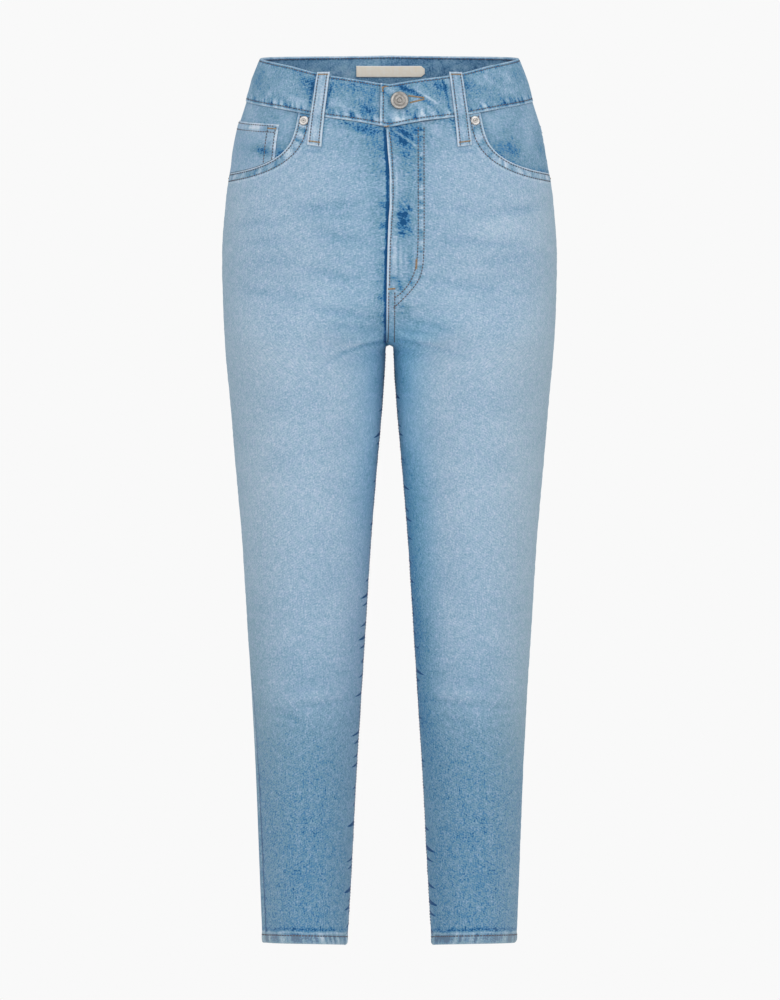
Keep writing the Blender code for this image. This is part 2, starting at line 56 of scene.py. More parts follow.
# %% Tables of the body
MM = 0.001
BODY_COLUMNS = ("height", "wide", "front", "back", "seam")
BODY_ROWS = (
    (48.0, 133.0, 72.0, 74.0, 0.0),
    (25.0, 141.0, 74.0, 76.0, 0.0),
    (0.0, 151.0, 77.0, 79.0, 0.0),
    (-24.0, 157.5, 81.0, 85.0, 0.0),
    (-55.0, 167.0, 87.0, 93.0, 1.0),
    (-88.0, 173.3, 93.0, 103.0, 2.0),
    (-132.0, 180.0, 100.0, 116.0, 3.0),
    (-198.0, 184.3, 104.0, 127.0, 4.0),
    (-242.0, 183.4, 103.0, 123.0, 5.0),
    (-292.0, 181.0, 97.0, 106.0, 6.0),
    (-352.0, 175.5, 90.0, 93.0, 6.0),
    (-418.0, 170.0, 83.0, 86.0, 6.0),
    (-506.0, 162.3, 74.0, 78.0, 6.0),
    (-594.0, 156.8, 66.0, 72.0, 6.0),
    (-682.0, 151.3, 60.0, 69.0, 8.0),
    (-770.0, 146.9, 52.0, 72.0, 12.0),
    (-858.0, 143.6, 46.0, 72.0, 14.0),
    (-949.0, 140.0, 43.0, 71.0, 15.0),
)
INSEAM_COLUMNS = ("height", "inner")
INSEAM_ROWS = (
    (-291.5, 0.0),
    (-291.9, 3.8),
    (-297.0, 4.2),
    (-319.0, 5.3),
    (-352.0, 7.5),
    (-418.0, 13.2),
    (-506.0, 20.4),
    (-594.0, 25.9),
    (-682.0, 31.4),
    (-770.0, 36.9),
    (-858.0, 41.3),
    (-949.0, 46.4),
)
# Heights of the waistband's two edges, by the angle in degrees from the centre front
BAND_COLUMNS = ("angle", "top", "low")
BAND_ROWS = (
    (0.0, -10.5, -57.5),
    (12.0, -5.0, -50.8),
    (28.0, 1.5, -44.3),
    (50.0, 13.0, -34.5),
    (90.0, 24.0, -23.5),
    (135.0, 29.5, -17.5),
    (180.0, 32.3, -15.0),
)
CROTCH, HEM = -291.5, -948.5
# How tall the rise seam's curve is in front and behind, and the share of it that lies below the crotch
FRONT_CURVE, BACK_CURVE, CURVE_START = 85.0, 125.0, 0.092


def table(columns, rows):
    """Named columns of a table, in rising order of the first one."""
    ordered = sorted(rows)
    return {name: np.array([row[i] for row in ordered], float) for i, name in enumerate(columns)}


def smooth(places, values, at):
    """Smooth curve through the rows of a table, which never swings past them."""
    step = np.diff(places)
    rise = np.diff(values) / step
    slope = np.concatenate((rise[:1], np.zeros(len(rise) - 1), rise[-1:]))
    same = rise[:-1] * rise[1:] > 0
    before = (step[:-1] + 2 * step[1:])[same]
    after = (2 * step[:-1] + step[1:])[same]
    slope[1:-1][same] = (before + after) / (before / rise[:-1][same] + after / rise[1:][same])
    at = np.clip(at, places[0], places[-1])
    i = np.clip(np.searchsorted(places, at, side="right") - 1, 0, len(step) - 1)
    t = (at - places[i]) / step[i]
    start = values[i] * (1 + 2 * t) * (1 - t) ** 2 + slope[i] * step[i] * t * (1 - t) ** 2
    return start + values[i + 1] * t * t * (3 - 2 * t) - slope[i + 1] * step[i] * t * t * (1 - t)


def ease(start, end, at):
    """0 before start and 1 after end, with a soft passage between them."""
    t = np.clip((np.asarray(at, float) - start) / (end - start), 0, 1)
    return t * t * (3 - 2 * t)


BODY, INSEAM = table(BODY_COLUMNS, BODY_ROWS), table(INSEAM_COLUMNS, INSEAM_ROWS)
BAND = table(BAND_COLUMNS, BAND_ROWS)
print("heights in the table:", len(BODY_ROWS), "waist to hem:", BODY_ROWS[0][0] - HEM, "mm")

# %% [markdown]
# ## A point anywhere on the cloth
# Every height has one half ring for the front and one for the back, from the side seam (angle 0) to the centre
# or the inseam. Above the crotch the ring slides past the centre plane and is cut there, which draws the rise
# seam's curve. Asking for a point by height and angle lets cloth, stitches and trims all share one surface.


# %% Rings, surface points and outward directions
TINY, MIDDLE = 0.01, 6.0  # turn in radians for a slope, and how near the centre plane the cloth faces ahead


def body(name, z):
    """Column of the body's table at any height."""
    return smooth(BODY["height"], BODY[name], z)


def ring(z, front):
    """Centre, reach, depth, seam plane and widest angle of the half ring at each height."""
    wide = body("wide", z)
    height = FRONT_CURVE if front else BACK_CURVE
    start = CROTCH - CURVE_START * height
    apart = smooth(INSEAM["height"], INSEAM["inner"], np.minimum(z, start))
    inner = apart - (wide + apart) * ease(start, start + height, z)
    centre, reach = (wide + inner) / 2, (wide - inner) / 2
    seam = body("seam", z)
    depth = body("front", z) + seam if front else body("back", z) - seam
    return centre, reach, depth, seam, np.arccos(-np.clip(centre / reach, 0, 1))


def on_ring(z, angle, front):
    """Point of the left half; an angle under 0 goes round the side seam on to the other ring."""
    centre, reach, depth, seam, _ = ring(z, front)
    beyond = ring(z, not front)[2]
    depth = np.where(angle < 0, beyond, depth)
    sign = -1 if front else 1
    across = centre + reach * np.cos(angle)
    inseam = np.where(z < CROTCH, smooth(INSEAM["height"], INSEAM["inner"], z), -np.inf)
    return np.stack((np.maximum(across, inseam), seam + sign * depth * np.sin(angle), z + 0 * angle), -1)


def surface(z, angle, front):
    """Points on the left half in millimetres, and the directions straight out of the cloth."""
    z, angle = np.broadcast_arrays(np.asarray(z, float), np.asarray(angle, float))
    along = on_ring(z, angle + TINY, front) - on_ring(z, angle - TINY, front)
    up = on_ring(z + 1, angle, front) - on_ring(z - 1, angle, front)
    out = np.cross(along, up) * (-1 if front else 1)
    points = on_ring(z, angle, front)
    above = (z >= CROTCH) * np.clip(1 - points[..., 0] / MIDDLE, 0, 1)
    out[..., 0] *= 1 - above
    return points, out / np.linalg.norm(out, axis=-1, keepdims=True)


def around(z, degrees):
    """Surface right round the waist, by the angle in degrees from the centre front."""
    folded = np.abs((degrees + 180) % 360 - 180)
    front = folded <= 90
    share = np.where(front, 1 - folded / 90, folded / 90 - 1)
    halves = [surface(z, share * ring(z, face)[4], face) for face in (True, False)]
    points, out = (np.where(front[..., None], a, b) for a, b in zip(*halves))
    sign = np.where((degrees + 360) % 360 > 180, -1.0, 1.0)
    points[..., 0] *= sign
    out[..., 0] *= sign
    return points, out


def band_edge(name, degrees):
    """Height of the waistband's top or low edge, at any angle from the centre front."""
    return smooth(BAND["angle"], BAND[name], np.abs((degrees + 180) % 360 - 180))


print("girth at the hem:", round(math.pi * float(body("front", HEM) + body("back", HEM))), "mm, about")

# %% [markdown]
# ## Reading places off the front view
# Creases, fades and stitch lines are easiest to give where the eye sees them: in the front view, in steps of
# 1.1 mm from its upper left corner, looked at from 7 m away. One function turns a surface point into such a
# place, and another finds the surface point behind a place, so each detail still sits on the cloth.

# %% The front view and back again
VIEW_STEP, VIEW_FAR = 1.1, 7000.0
VIEW_RIGHT, VIEW_DOWN, VIEW_HEIGHT = 389.5, 500.0, -462.0


def in_view(points):
    """Place in the front view, to the right and down, of points on the cloth."""
    nearer = VIEW_STEP * (1 + points[..., 1] / VIEW_FAR)
    return VIEW_RIGHT + points[..., 0] / nearer, VIEW_DOWN - (points[..., 2] - VIEW_HEIGHT) / nearer


def behind_view(right, down):
    """Height, angle and side of the front surface at a place in the front view."""
    right, down = np.asarray(right, float), np.asarray(down, float)
    y = np.full(right.shape, -80.0)
    for _ in range(5):
        step = VIEW_STEP * (1 + y / VIEW_FAR)
        x, z = (right - VIEW_RIGHT) * step, VIEW_HEIGHT + (VIEW_DOWN - down) * step
        centre, reach = ring(z, True)[:2]
        angle = np.arccos(np.clip((np.abs(x) - centre) / reach, -1, 1))
        y = on_ring(z, angle, True)[..., 1]
    return z, angle, x > 0


print("height behind the button's place:", round(float(behind_view(399.3, 101.5)[0]), 1), "mm")

# %% [markdown]
# ## Creases, ridges, worn places and painted shade
# Denim fades where it rubs: raised folds and seam edges go pale, and the hollows beside them keep their
# indigo. Some marks are painted shade instead: the shadow under the fly's lap, shadows beside the belt loops,
# and shade under the waistband, round the button and beside the pocket mouths. So one table gives each mark's
# two ends, its half width, how far it rises (troughs are negative) and how much paler it is. The rise moves the
# cloth and the fade goes to the colour, which keeps the two together.

# %% Marks on the front and the back, in front view steps
# Each mark's two ends, to the right and down, its half width, how far it rises, and how much paler it is
MARKS = {
    "front_right": (
        # soft bands across the hips
        (296, 210, 356, 203, 5, -0.7, -0.11), (232, 226, 286, 220, 5, -0.5, -0.07),
        (300, 222, 350, 224, 4, 0.4, 0.03), (302, 217, 352, 215, 10, 0, -0.09),
        (316, 233, 368, 243, 5, -0.7, -0.11), (236, 244, 300, 240, 4.5, -0.5, -0.06),
        (250, 262, 302, 258, 6, -0.4, -0.05), (300, 268, 352, 280, 5, -0.7, -0.11),
        (240, 290, 310, 298, 5, -0.5, -0.06), (314, 308, 380, 320, 4, -0.7, -0.11),
        (330, 326, 382, 330, 3, -0.5, -0.09),
        # folds that run from the crotch over the thighs, with darker blue below them
        (388, 341, 362, 346, 2.2, -0.9, -0.26), (366, 345, 340, 354, 2.2, -0.8, -0.16),
        (346, 351, 318, 370, 2.4, -0.6, -0.09), (386, 336, 342, 349, 3.0, 0.5, 0.06),
        (384, 352, 350, 362, 8, -0.4, -0.10), (384, 372, 372, 396, 9, -0.4, -0.06),
        # knees
        (296, 707, 344, 701, 3.2, -1.0, -0.08), (262, 709, 296, 714, 2.8, -0.8, -0.07),
        (284, 715, 306, 725, 2.6, -0.8, -0.08), (286, 700, 330, 695, 7, 0.9, 0.05),
        (305, 838, 344, 818, 4, -0.6, -0.05), (246, 610, 250, 770, 16, 0.0, -0.13),
        # painted shadow under the lap's edge, with softer painted shade beside it
        (384.6, 128, 387.6, 172, 1.6, -0.3, -0.95), (387.6, 162, 387.8, 216, 1.6, -0.3, -0.90),
        (387.8, 206, 386.0, 262, 1.6, -0.3, -0.90), (386.0, 250, 385.5, 300, 1.5, -0.3, -0.85),
        (385.5, 285, 385.2, 350, 1.5, -0.3, -0.85), (376, 126, 379, 236, 9, -0.3, -0.15),
        (380, 226, 380, 340, 6, -0.2, -0.12),
        # painted shade under the waistband and beside the pocket mouths
        (324, 120, 376, 129, 5, -0.2, -0.30), (356, 128, 380, 134, 5, -0.2, -0.22),
        (360, 140, 382, 152, 8, 0.0, -0.08), (300, 132, 292, 158, 5, -0.2, -0.12),
        # painted shadows beside the lower ends of the belt loops
        (306, 122, 303.4, 147, 1.5, 0, -0.30), (323.4, 122, 322, 148, 1.5, 0, -0.36),
        (304, 151, 322, 151, 1.5, 0, -0.24),
    ),
    "front_left": (
        # soft bands across the hips
        (484, 215, 546, 206, 5, -0.7, -0.11), (440, 205, 486, 214, 5, -0.5, -0.06),
        (446, 240, 526, 246, 5, -0.7, -0.10), (470, 262, 548, 254, 5, -0.5, -0.06),
        (434, 281, 496, 290, 5, -0.6, -0.09), (398, 318, 452, 331, 4, -0.7, -0.11),
        (478, 225, 530, 235, 22, 0, 0.08), (396, 329, 436, 336, 3, -0.5, -0.08),
        # folds that run from the crotch over the thighs, with darker blue below them
        (394, 339, 420, 345, 2.2, -0.8, -0.18), (416, 344, 462, 356, 2.4, -0.6, -0.09),
        (396, 334, 440, 342, 3.0, 0.4, 0.05), (394, 348, 424, 356, 8, -0.4, -0.16),
        (396, 362, 408, 400, 9, -0.4, -0.10),
        # knees
        (426, 700, 482, 706, 3.2, -1.0, -0.08), (440, 716, 470, 724, 2.8, -0.8, -0.08),
        (486, 709, 518, 704, 2.8, -0.8, -0.07), (440, 692, 486, 696, 7, 0.9, 0.05),
        (424, 706, 436, 770, 9, 0.0, -0.08), (440, 826, 478, 842, 4, -0.6, -0.05),
        # the fly between its lap and its curved stitching
        (406, 128, 406, 276, 10, 0.0, -0.24), (421, 128, 421, 250, 6, 0.0, -0.14),
        (394, 128, 412, 145, 7.5, -0.5, -0.50), (412, 126, 424, 134, 6, -0.2, -0.30),
        (399, 152, 410, 158, 4, -0.2, -0.16), (403, 203, 402, 236, 6.0, -0.5, -0.34),
        (397, 214, 406, 215, 1.8, -0.3, -0.36), (398, 224, 409, 222, 2.0, -0.3, -0.36),
        (397, 233, 404, 234, 1.8, -0.3, -0.30), (407, 206, 411, 212, 2.2, -0.3, -0.36),
        (410, 226, 412, 234, 2.0, -0.2, -0.26), (394, 130, 418, 148, 1.2, 0.8, 0.70),
        (399, 199, 411, 214, 1.1, 0.4, 0.42), (396.5, 164, 396.5, 202, 1.5, 0.3, 0.22),
        (401.5, 166, 401.5, 196, 1.3, 0.2, 0.15), (406.5, 160, 406.5, 196, 1.3, 0.2, 0.15),
        (393.6, 208, 398, 210, 1.2, 0.3, 0.30), (393.6, 219, 399, 221, 1.2, 0.3, 0.30),
        (393.6, 229, 398, 230, 1.2, 0.3, 0.26), (395, 236, 395, 280, 2.2, 0.3, 0.24),
        (401, 240, 401, 276, 1.6, 0.3, 0.24), (406.5, 240, 406, 272, 1.4, 0.2, 0.18),
        (398, 240, 398, 276, 0.9, -0.2, -0.20), (391, 278, 401, 280, 2.4, -0.2, -0.42),
        (397, 283, 404, 293, 3.2, -0.3, -0.42), (409, 276, 412, 287, 2.6, -0.2, -0.36),
        (396, 305, 410, 309, 2.2, -0.2, -0.32), (398, 313, 412, 314, 1.6, -0.1, -0.24),
        (410, 252, 411, 268, 2.2, -0.2, -0.20), (391.5, 140, 392.6, 205, 1.1, -0.3, -0.20),
        # painted shade under the waistband and beside the pocket mouths
        (438, 122, 460, 118, 4.5, -0.2, -0.34), (444, 132, 460, 128, 6, 0.0, -0.10),
        (480, 132, 492, 160, 5, -0.2, -0.14), (430, 126, 440, 132, 4, 0.1, 0.10),
        # painted shadows beside the lower ends of the belt loops
        (453.4, 120, 459, 147, 1.5, 0, -0.36), (470, 122, 476, 147, 1.5, 0, -0.30),
        (459, 151, 476, 151, 1.5, 0, -0.24),
    ),
    "pocket_facing_right": (
        # hip pieces in the pocket mouths, and the coin pocket; the dark mark low beside the coin pocket's edge is a
        # painted shadow
        (284, 116, 296, 132, 8, 0.0, 0.14), (244, 108, 262, 116, 5, 0.0, 0.08),
        (268, 112, 280, 118, 5, 0.0, -0.12), (276, 148, 282, 156, 4, 0.0, -0.22),
    ),
    "coin_pocket": (
        # hip pieces in the pocket mouths, and the coin pocket
        (256, 149, 270, 152, 5, -0.2, -0.50), (240, 140, 252, 158, 7, 0.0, -0.06),
        (240, 127, 268, 128, 2.4, 0.2, 0.16),
    ),
    "pocket_facing_left": (
        # hip pieces in the pocket mouths, and the coin pocket
        (478, 116, 498, 124, 7, 0.0, 0.14), (496, 142, 530, 162, 7, 0.0, -0.22),
        (510, 118, 536, 128, 7, 0.0, 0.04), (540, 140, 549, 168, 5, 0.0, -0.08),
    ),
    "waistband": (
        # waistband: uneven blue, a fold beside the button with painted shade along it, painted shade at the button's
        # edge and round the buttonhole, puckers along the seam, and painted shadows beside the belt loops
        (304, 76, 313, 92, 7, -0.3, -0.26), (332, 82, 352, 90, 7, -0.3, -0.20),
        (362, 104, 378, 116, 6, -0.3, -0.26), (364, 88, 378, 94, 5, -0.2, -0.12),
        (330, 104, 356, 112, 3, 0.2, 0.14), (262, 70, 292, 84, 7, 0.0, -0.08),
        (268, 92, 300, 100, 4, 0.0, 0.08), (460, 80, 474, 88, 7, -0.3, -0.26),
        (432, 84, 444, 98, 7, -0.2, -0.14), (486, 78, 520, 74, 6, 0.0, -0.06),
        (480, 98, 524, 88, 4, 0.0, 0.08), (397, 86, 424, 96.5, 2.4, -0.6, -0.42),
        (415, 90.5, 438, 104.5, 1.1, 0.8, 0.60), (315.2, 76, 306, 121, 1.5, 0, -0.36),
        (333.4, 78, 322.6, 122, 1.5, 0, -0.36), (442.4, 77, 451.6, 118, 1.5, 0, -0.36),
        (460, 77, 467.6, 118, 1.5, 0, -0.30), (412, 94, 434, 107, 1.8, -0.4, -0.34),
        (389, 96, 391, 112, 3, -0.3, -0.30), (400, 113, 401, 121, 1.8, -0.4, -0.34),
        (406, 110, 408, 121, 2.0, -0.4, -0.36), (416, 108, 417, 119, 1.8, -0.4, -0.34),
        (424, 108, 426, 117, 1.6, -0.3, -0.26), (411.5, 112, 412.5, 120, 1.1, 0.4, 0.26),
        (421, 110, 421.5, 118, 1.1, 0.4, 0.26), (444, 117.5, 453, 111.5, 1.1, 0.4, 0.34),
    ),
    "back_right": (
        # back of the knees and under the seat
        (440, 664, 486, 680, 5, -1.6, -0.08), (500, 700, 452, 694, 5, -1.4, -0.08),
        (446, 712, 480, 722, 4, -1.0, -0.06), (404, 352, 460, 362, 6, -1.4, -0.10),
        (400, 342, 440, 344, 4, -0.8, -0.08),
    ),
    "back_left": (
        # back of the knees and under the seat
        (336, 666, 292, 682, 5, -1.6, -0.08), (284, 704, 330, 696, 5, -1.4, -0.08),
        (330, 714, 298, 724, 4, -1.0, -0.06), (372, 354, 318, 364, 6, -1.4, -0.10),
        (378, 343, 340, 346, 4, -0.8, -0.08),
    ),
}


def marked(name, points):
    """Rise in millimetres and fade that the piece's marks give at each point."""
    right, down = in_view(points * ((-1, 1, 1) if name.startswith("back") else (1, 1, 1)))
    rise, fade = np.zeros(right.shape), np.zeros(right.shape)
    for from_right, from_down, to_right, to_down, half, lift, paler in MARKS.get(name, ()):
        across, drop = to_right - from_right, to_down - from_down
        over, under = right - from_right, down - from_down
        share = np.clip((over * across + under * drop) / (across**2 + drop**2), 0, 1)
        apart = np.hypot(over - share * across, under - share * drop) / half
        soft = np.exp(-(apart**2)) * (1 - 0.6 * np.abs(2 * share - 1) ** 2)
        rise += lift * soft
        fade += paler * soft
    return rise, fade


DRAWS = 4096


def uneven(at, pitch, seed):
    """Smooth random line from -1 to 1 that turns about once in every pitch."""
    values = np.random.default_rng(seed).uniform(-1, 1, DRAWS)
    place = np.asarray(at, float) / pitch + DRAWS // 2
    low = np.floor(place).astype(int)
    share = place - low
    share = share * share * (3 - 2 * share)
    return values[low % DRAWS] * (1 - share) + values[(low + 1) % DRAWS] * share


print("marks:", {piece: len(rows) for piece, rows in MARKS.items()})

# %% [markdown]
# ## Leg panels
# A real leg panel is cut flat and shrinks a little at each sewn edge, so the cloth there is pulled into short
# uneven waves, called roping. Here the edge of each panel sinks into its seam, and waves run along it. The
# fly's lap is the left panel's edge, raised over the right panel.

# %% Cloth sizes
# Thickness of the panels, the doubled waistband, the folded loops, the pocketing and the label, and the
# room between two layers, all in millimetres
WALL, BAND_WALL, LOOP_WALL, BAG_WALL, LABEL_WALL, LAYER = 1.2, 2.6, 1.6, 1.0, 0.8, 0.4
# Arc of a quarter of the hips in front and behind
HIP_ARC, SEAT_ARC = 160.0, 200.0
# Pocket mouth: its share of the quarter ring, its depth, and how square its curve is
SCOOP_TURN, SCOOP_DEPTH, SCOOP_POWER = 0.583, 63.0, 3.3
# Yoke's depth at the side seam and at the centre back
YOKE_SIDE, YOKE_CENTRE = 36.0, 76.0
# Height of the level row below the pocket mouths, of the stitches over the hem, and how near the seams a
# hem's corner sinks
LEVEL_ROW, HEM_STITCH, HEM_FOLD = -190.0, 9.0, 14.0
# Fly: where its lap ends, its rise, where the rise runs out, and the place of its flecks
FLY_END, FLY_RAISE, FLY_OUT, FLY_IN, FLY_FLECKS = -228.0, 1.7, 40.0, 30.0, 34.5
FLY_EDGE = table(
    ("height", "across"),
    ((-45, -3.6), (-60, -3.3), (-80, -2.2), (-115, 0.3), (-140, 0.3), (-158, -1.0), (-217, -2.7), (-290, -3.6)),
)
# How far the side seam turns towards the front, as a share of a quarter ring, on the wearer's right leg
TWIST = table(
    ("height", "turn"), ((-949, 0.25), (-800, 0.21), (-700, 0.15), (-640, 0.08), (-560, 0.0), (0, 0.0))
)
# The hem's rise in the middle of the front, its slant from the side seam to the inseam, and how far it is let down
HEM_LEVEL, HEM_SLANT, HEM_DOWN = 3.75, 1.35, 2.65
# Puckers beside the inseam: their length, their slant, and how much longer they grow below a height
PUCKER, PUCKER_SLANT, PUCKER_GROWTH, PUCKER_GROWS = 5.2, 0.17, 0.22, -760.0
print("cloth:", WALL, "mm thick; the fly ends", -FLY_END, "mm below the waist's middle")


# %% The form of the panels
def edge_wear(distance, wide=1.3):
    """1 on a line, falling to 0 beside it."""
    return np.exp(-((distance / wide) ** 2))


def rolled(distance, reach):
    """1 at a folded or cut edge, falling to 0 within reach of it."""
    return np.clip(1 - distance / reach, 0, 1) ** 2


def distances(line):
    """Distance from a line's start at each of its points."""
    return np.concatenate(([0], np.cumsum(np.linalg.norm(np.diff(line, axis=0), axis=1))))


def at_steps(reach, line, steps):
    """Points of a line, or of anything that runs with it, at distances from its start."""
    return np.stack([np.interp(steps, reach, line[:, i]) for i in range(line.shape[1])], -1)


def radius(z, front):
    """Mean radius of a half ring, which turns an angle into a distance."""
    _, reach, depth, *_ = ring(z, front)
    return (reach + depth) / 2


def scoop(share):
    """Height of the pocket mouth's edge, by the share of the way to its corner at the waistband."""
    corner = band_edge("low", 90 * (1 - SCOOP_TURN))
    return corner - SCOOP_DEPTH * (1 - np.clip(share, 0, 1) ** SCOOP_POWER) ** (1 / SCOOP_POWER)


def mouth_line(count):
    """Shares of the way along the pocket mouth, and its line by the arc and the height."""
    shares = np.sin(np.linspace(0, math.pi / 2, count)) ** (2 / SCOOP_POWER)
    return shares, np.stack((shares * SCOOP_TURN * HIP_ARC, scoop(shares)), -1)


MOUTH_LINE = mouth_line(150)[1]
MOUTH_ALONG = distances(MOUTH_LINE)


def from_mouth(turn, z):
    """Distance from the pocket mouth's edge, and the place along it."""
    apart = np.hypot((turn * HIP_ARC)[..., None] - MOUTH_LINE[:, 0], z[..., None] - MOUTH_LINE[:, 1])
    return apart.min(-1), MOUTH_ALONG[apart.argmin(-1)]


def yoke_seam(turn):
    """Height of the seam under the yoke, which dips towards the centre back."""
    return band_edge("low", 90 * (1 + turn)) - YOKE_SIDE - (YOKE_CENTRE - YOKE_SIDE) * np.asarray(turn, float)


def top_of(front, turn):
    """Height of a panel's upper edge: waistband, pocket mouth or yoke seam."""
    if not front:
        return yoke_seam(turn)
    return np.where(turn < SCOOP_TURN, scoop(turn / SCOOP_TURN), band_edge("low", 90 * (1 - turn)))


def twist(name, z):
    """Angle at which a panel starts: 0, but on the right leg its side seam turns towards the front."""
    sense = {"front_right": 1, "back_right": -1}.get(name, 0)
    return smooth(TWIST["height"], TWIST["turn"], z) * sense * math.pi / 2


def hem_lift(angle, front):
    """Rise of the hem: the front hangs level to the eye, and the inseam a little lower than the side."""
    on_front = front != (angle < 0)
    level = HEM_LEVEL * np.sin(np.abs(angle)) * on_front
    return level + HEM_SLANT * (1 - 2 * np.abs(angle) / math.pi) - HEM_DOWN


def inseam(z, inner, front):
    """Place along the inseam counted in puckers, and 1 at the seam falling to 0 beside it."""
    slanted = z + PUCKER_SLANT * inner
    place = slanted + PUCKER_GROWTH * np.clip(PUCKER_GROWS - slanted, 0, None)
    strength, reach = (1.0, 36) if front else (0.7, 16)
    beside = strength * np.clip(1 - inner / reach, 0, 1)
    # the count is kept above 0, and the puckers start a little below the crotch
    return place / PUCKER + 400, beside * ease(CROTCH - 14, CROTCH - 30, z)


print("pocket mouth's edge:", round(float(MOUTH_ALONG[-1])), "mm long")

# %% [markdown]
# ## Hems, pocket mouths and the fly
# At the hems, at the pocket mouths and at the fly the cloth is folded under and sewn down. A fold stands up and
# rubs pale, the stitches pull it in, and the cloth between them puckers. At the hems and the pocket mouths, shade
# is painted along the stitch rows. A function for each of the three gives that relief and fade, and the last one
# adds them to the panel's plain form.


# %% Hems, pocket mouths and the fly on a panel
def hem_form(hem, along, seed, darker):
    """Ropes, fade and rise of a turned-up hem, by the height above it and the place along it."""
    puckers = uneven(along + 0.3 * hem, 3.2, seed + 2)
    in_hem = edge_wear(hem - 6, 5.5)
    waved = hem + 0.7 * uneven(along, 8, seed + 4)
    fade = (0.44 * puckers - darker) * in_hem
    # pale ridge where the turned-up layer ends, with a dark line above it
    fade = fade + 0.36 * edge_wear(waved - 12.0, 1.3) - 0.16 * edge_wear(waved - 15.5, 2.0)
    # pale lower fold, and a dark line of painted shade in the groove of the stitches
    fade = fade + 0.30 * edge_wear(hem, 1.3) - 0.28 * edge_wear(hem - HEM_STITCH, 0.9)
    rise = 0.5 * ease(13, 9.5, hem) - 0.5 * edge_wear(hem - HEM_STITCH, 1.6) - 0.7 * rolled(hem, 0.9)
    return puckers * in_hem * 0.45, fade, rise


def mouth_form(turn, z, seed):
    """Ropes and fade beside the pocket mouth, whose edge is turned under and sewn twice."""
    away, place = from_mouth(turn, z)
    puckers = uneven(place + 0.4 * away, 2.9, seed + 7)
    in_hem = ease(1, 3, away) * ease(10.5, 8.5, away)
    fade = (0.26 * puckers - 0.06) * in_hem + 0.36 * edge_wear(away, 1.5) + 0.16 * edge_wear(away - 11.3, 1.2)
    # the darker lines at the two stitch rows are painted shade in their grooves
    return 0.35 * puckers * in_hem, fade - 0.16 * (edge_wear(away - 2.4, 0.9) + edge_wear(away - 9.2, 0.9))


def lap_form(z, across, inner):
    """Ropes, fade and rise of the fly's lap, with flecks between the two rows of its curve."""
    rows = uneven(z, 2.6, 91) * edge_wear(across - FLY_FLECKS, 2.6) * ease(-230, -215, z)
    fade = 0.46 * edge_wear(inner - 0.5, 0.9) - 0.20 * edge_wear(inner - 3.0, 1.1) + 0.34 * rows
    rise = FLY_RAISE * ease(FLY_OUT, FLY_IN, across) * ease(FLY_END - 14, FLY_END, z)
    return 0.42 * edge_wear(inner - 2.2, 1.5) + 0.20 * rows, fade, rise


def panel_skin(name, z, angle, below=60.0):
    """Points, directions out, fine rise, fade and blue of a leg panel; below is how far its upper edge is."""
    front, left = name.startswith("front"), name.endswith("left")
    points, out = surface(z, angle, front)
    z, angle = np.broadcast_arrays(np.asarray(z, float), np.asarray(angle, float))
    mirror = np.array((1.0 if left else -1.0, 1, 1))
    limit, size = ring(z, front)[4], radius(z, front)
    side, inner = np.maximum(angle - twist(name, z), 0) * size, np.maximum(limit - angle, 0) * size
    upper, lower = z > CROTCH, z <= CROTCH
    seed = 3 + 5 * front + 11 * left
    ropes = uneven(z + 0.4 * side, 4.2, seed) * edge_wear(side, 7) * 0.35
    ropes = ropes + uneven(z - 0.5 * inner, 4.6, seed + 1) * edge_wear(inner, 8) * np.where(upper, 0.2, 0.22)
    if front:
        # the left panel's edge is the lap, and the right one ends under it
        edge = smooth(FLY_EDGE["height"], FLY_EDGE["across"], z)
        goal = edge if left else -(edge + 0.2 + 2.2 * ease(FLY_END - 10, FLY_END + 10, z))
        points = points.copy()
        points[..., 0] += goal * edge_wear(inner, 14) * upper
    rise, fade = marked(name, points * mirror)
    # marks that darken the cloth, painted shade among them, also turn it bluer
    blue = 0.25 * np.clip(-fade, 0, 1) * (z > -420)
    fade = fade + 0.08 * edge_wear(inner, 14) * lower
    if not front:
        fade = fade + 0.16 * edge_wear(side, 3) * lower
    elif not left:
        # dark line where the right leg's side seam comes round to the front
        fade = fade - 0.70 * edge_wear(side, 4.5) * ease(-600, -680, z) * lower
    hem = z - HEM - hem_lift(angle, front)
    hem_ropes, hem_fade, sunk = hem_form(hem, angle * size, seed, 0.31 if left else 0.04)
    ropes, fade = ropes + hem_ropes, fade + hem_fade
    sunk = sunk - 0.9 * edge_wear(side, 1.2) - 0.7 * rolled(below, 0.9)
    if not (front and left):
        sunk = sunk - 0.9 * edge_wear(inner, 1.2) * np.where(upper & front, 0.2, 1.0)
    sunk = sunk - 2.2 * rolled(hem, 3.4) * (edge_wear(side, HEM_FOLD) + edge_wear(inner, HEM_FOLD)) * lower
    near = front * (z > -150) & (angle < 0.75 * limit)
    if near.any():
        mouth_ropes, mouth_fade = mouth_form((angle / limit)[near], z[near], seed)
        ropes[near] += mouth_ropes
        fade[near] += mouth_fade
    if front and left:
        lap_ropes, lap_fade, lap_rise = lap_form(z, points[..., 0], inner)
        ropes, fade, sunk = ropes + lap_ropes * upper, fade + lap_fade * upper, sunk + lap_rise
    elif front:
        # ragged painted shade along the fold under the lap
        fade = fade - 0.34 * np.clip(uneven(z, 3.4, 92) + 0.2, 0, 1) * edge_wear(inner - 6, 3.6) * upper
    level = rise + ropes + sunk
    fine = 1.4 * ropes + 0.12 * rise + 0.35 * sunk * (np.abs(sunk) < 1)
    return (points + out * level[..., None]) * mirror, out * mirror, fine, fade, blue


print("hem girth of the left leg:", round(float(radius(HEM, True) + radius(HEM, False)) * math.pi), "mm")

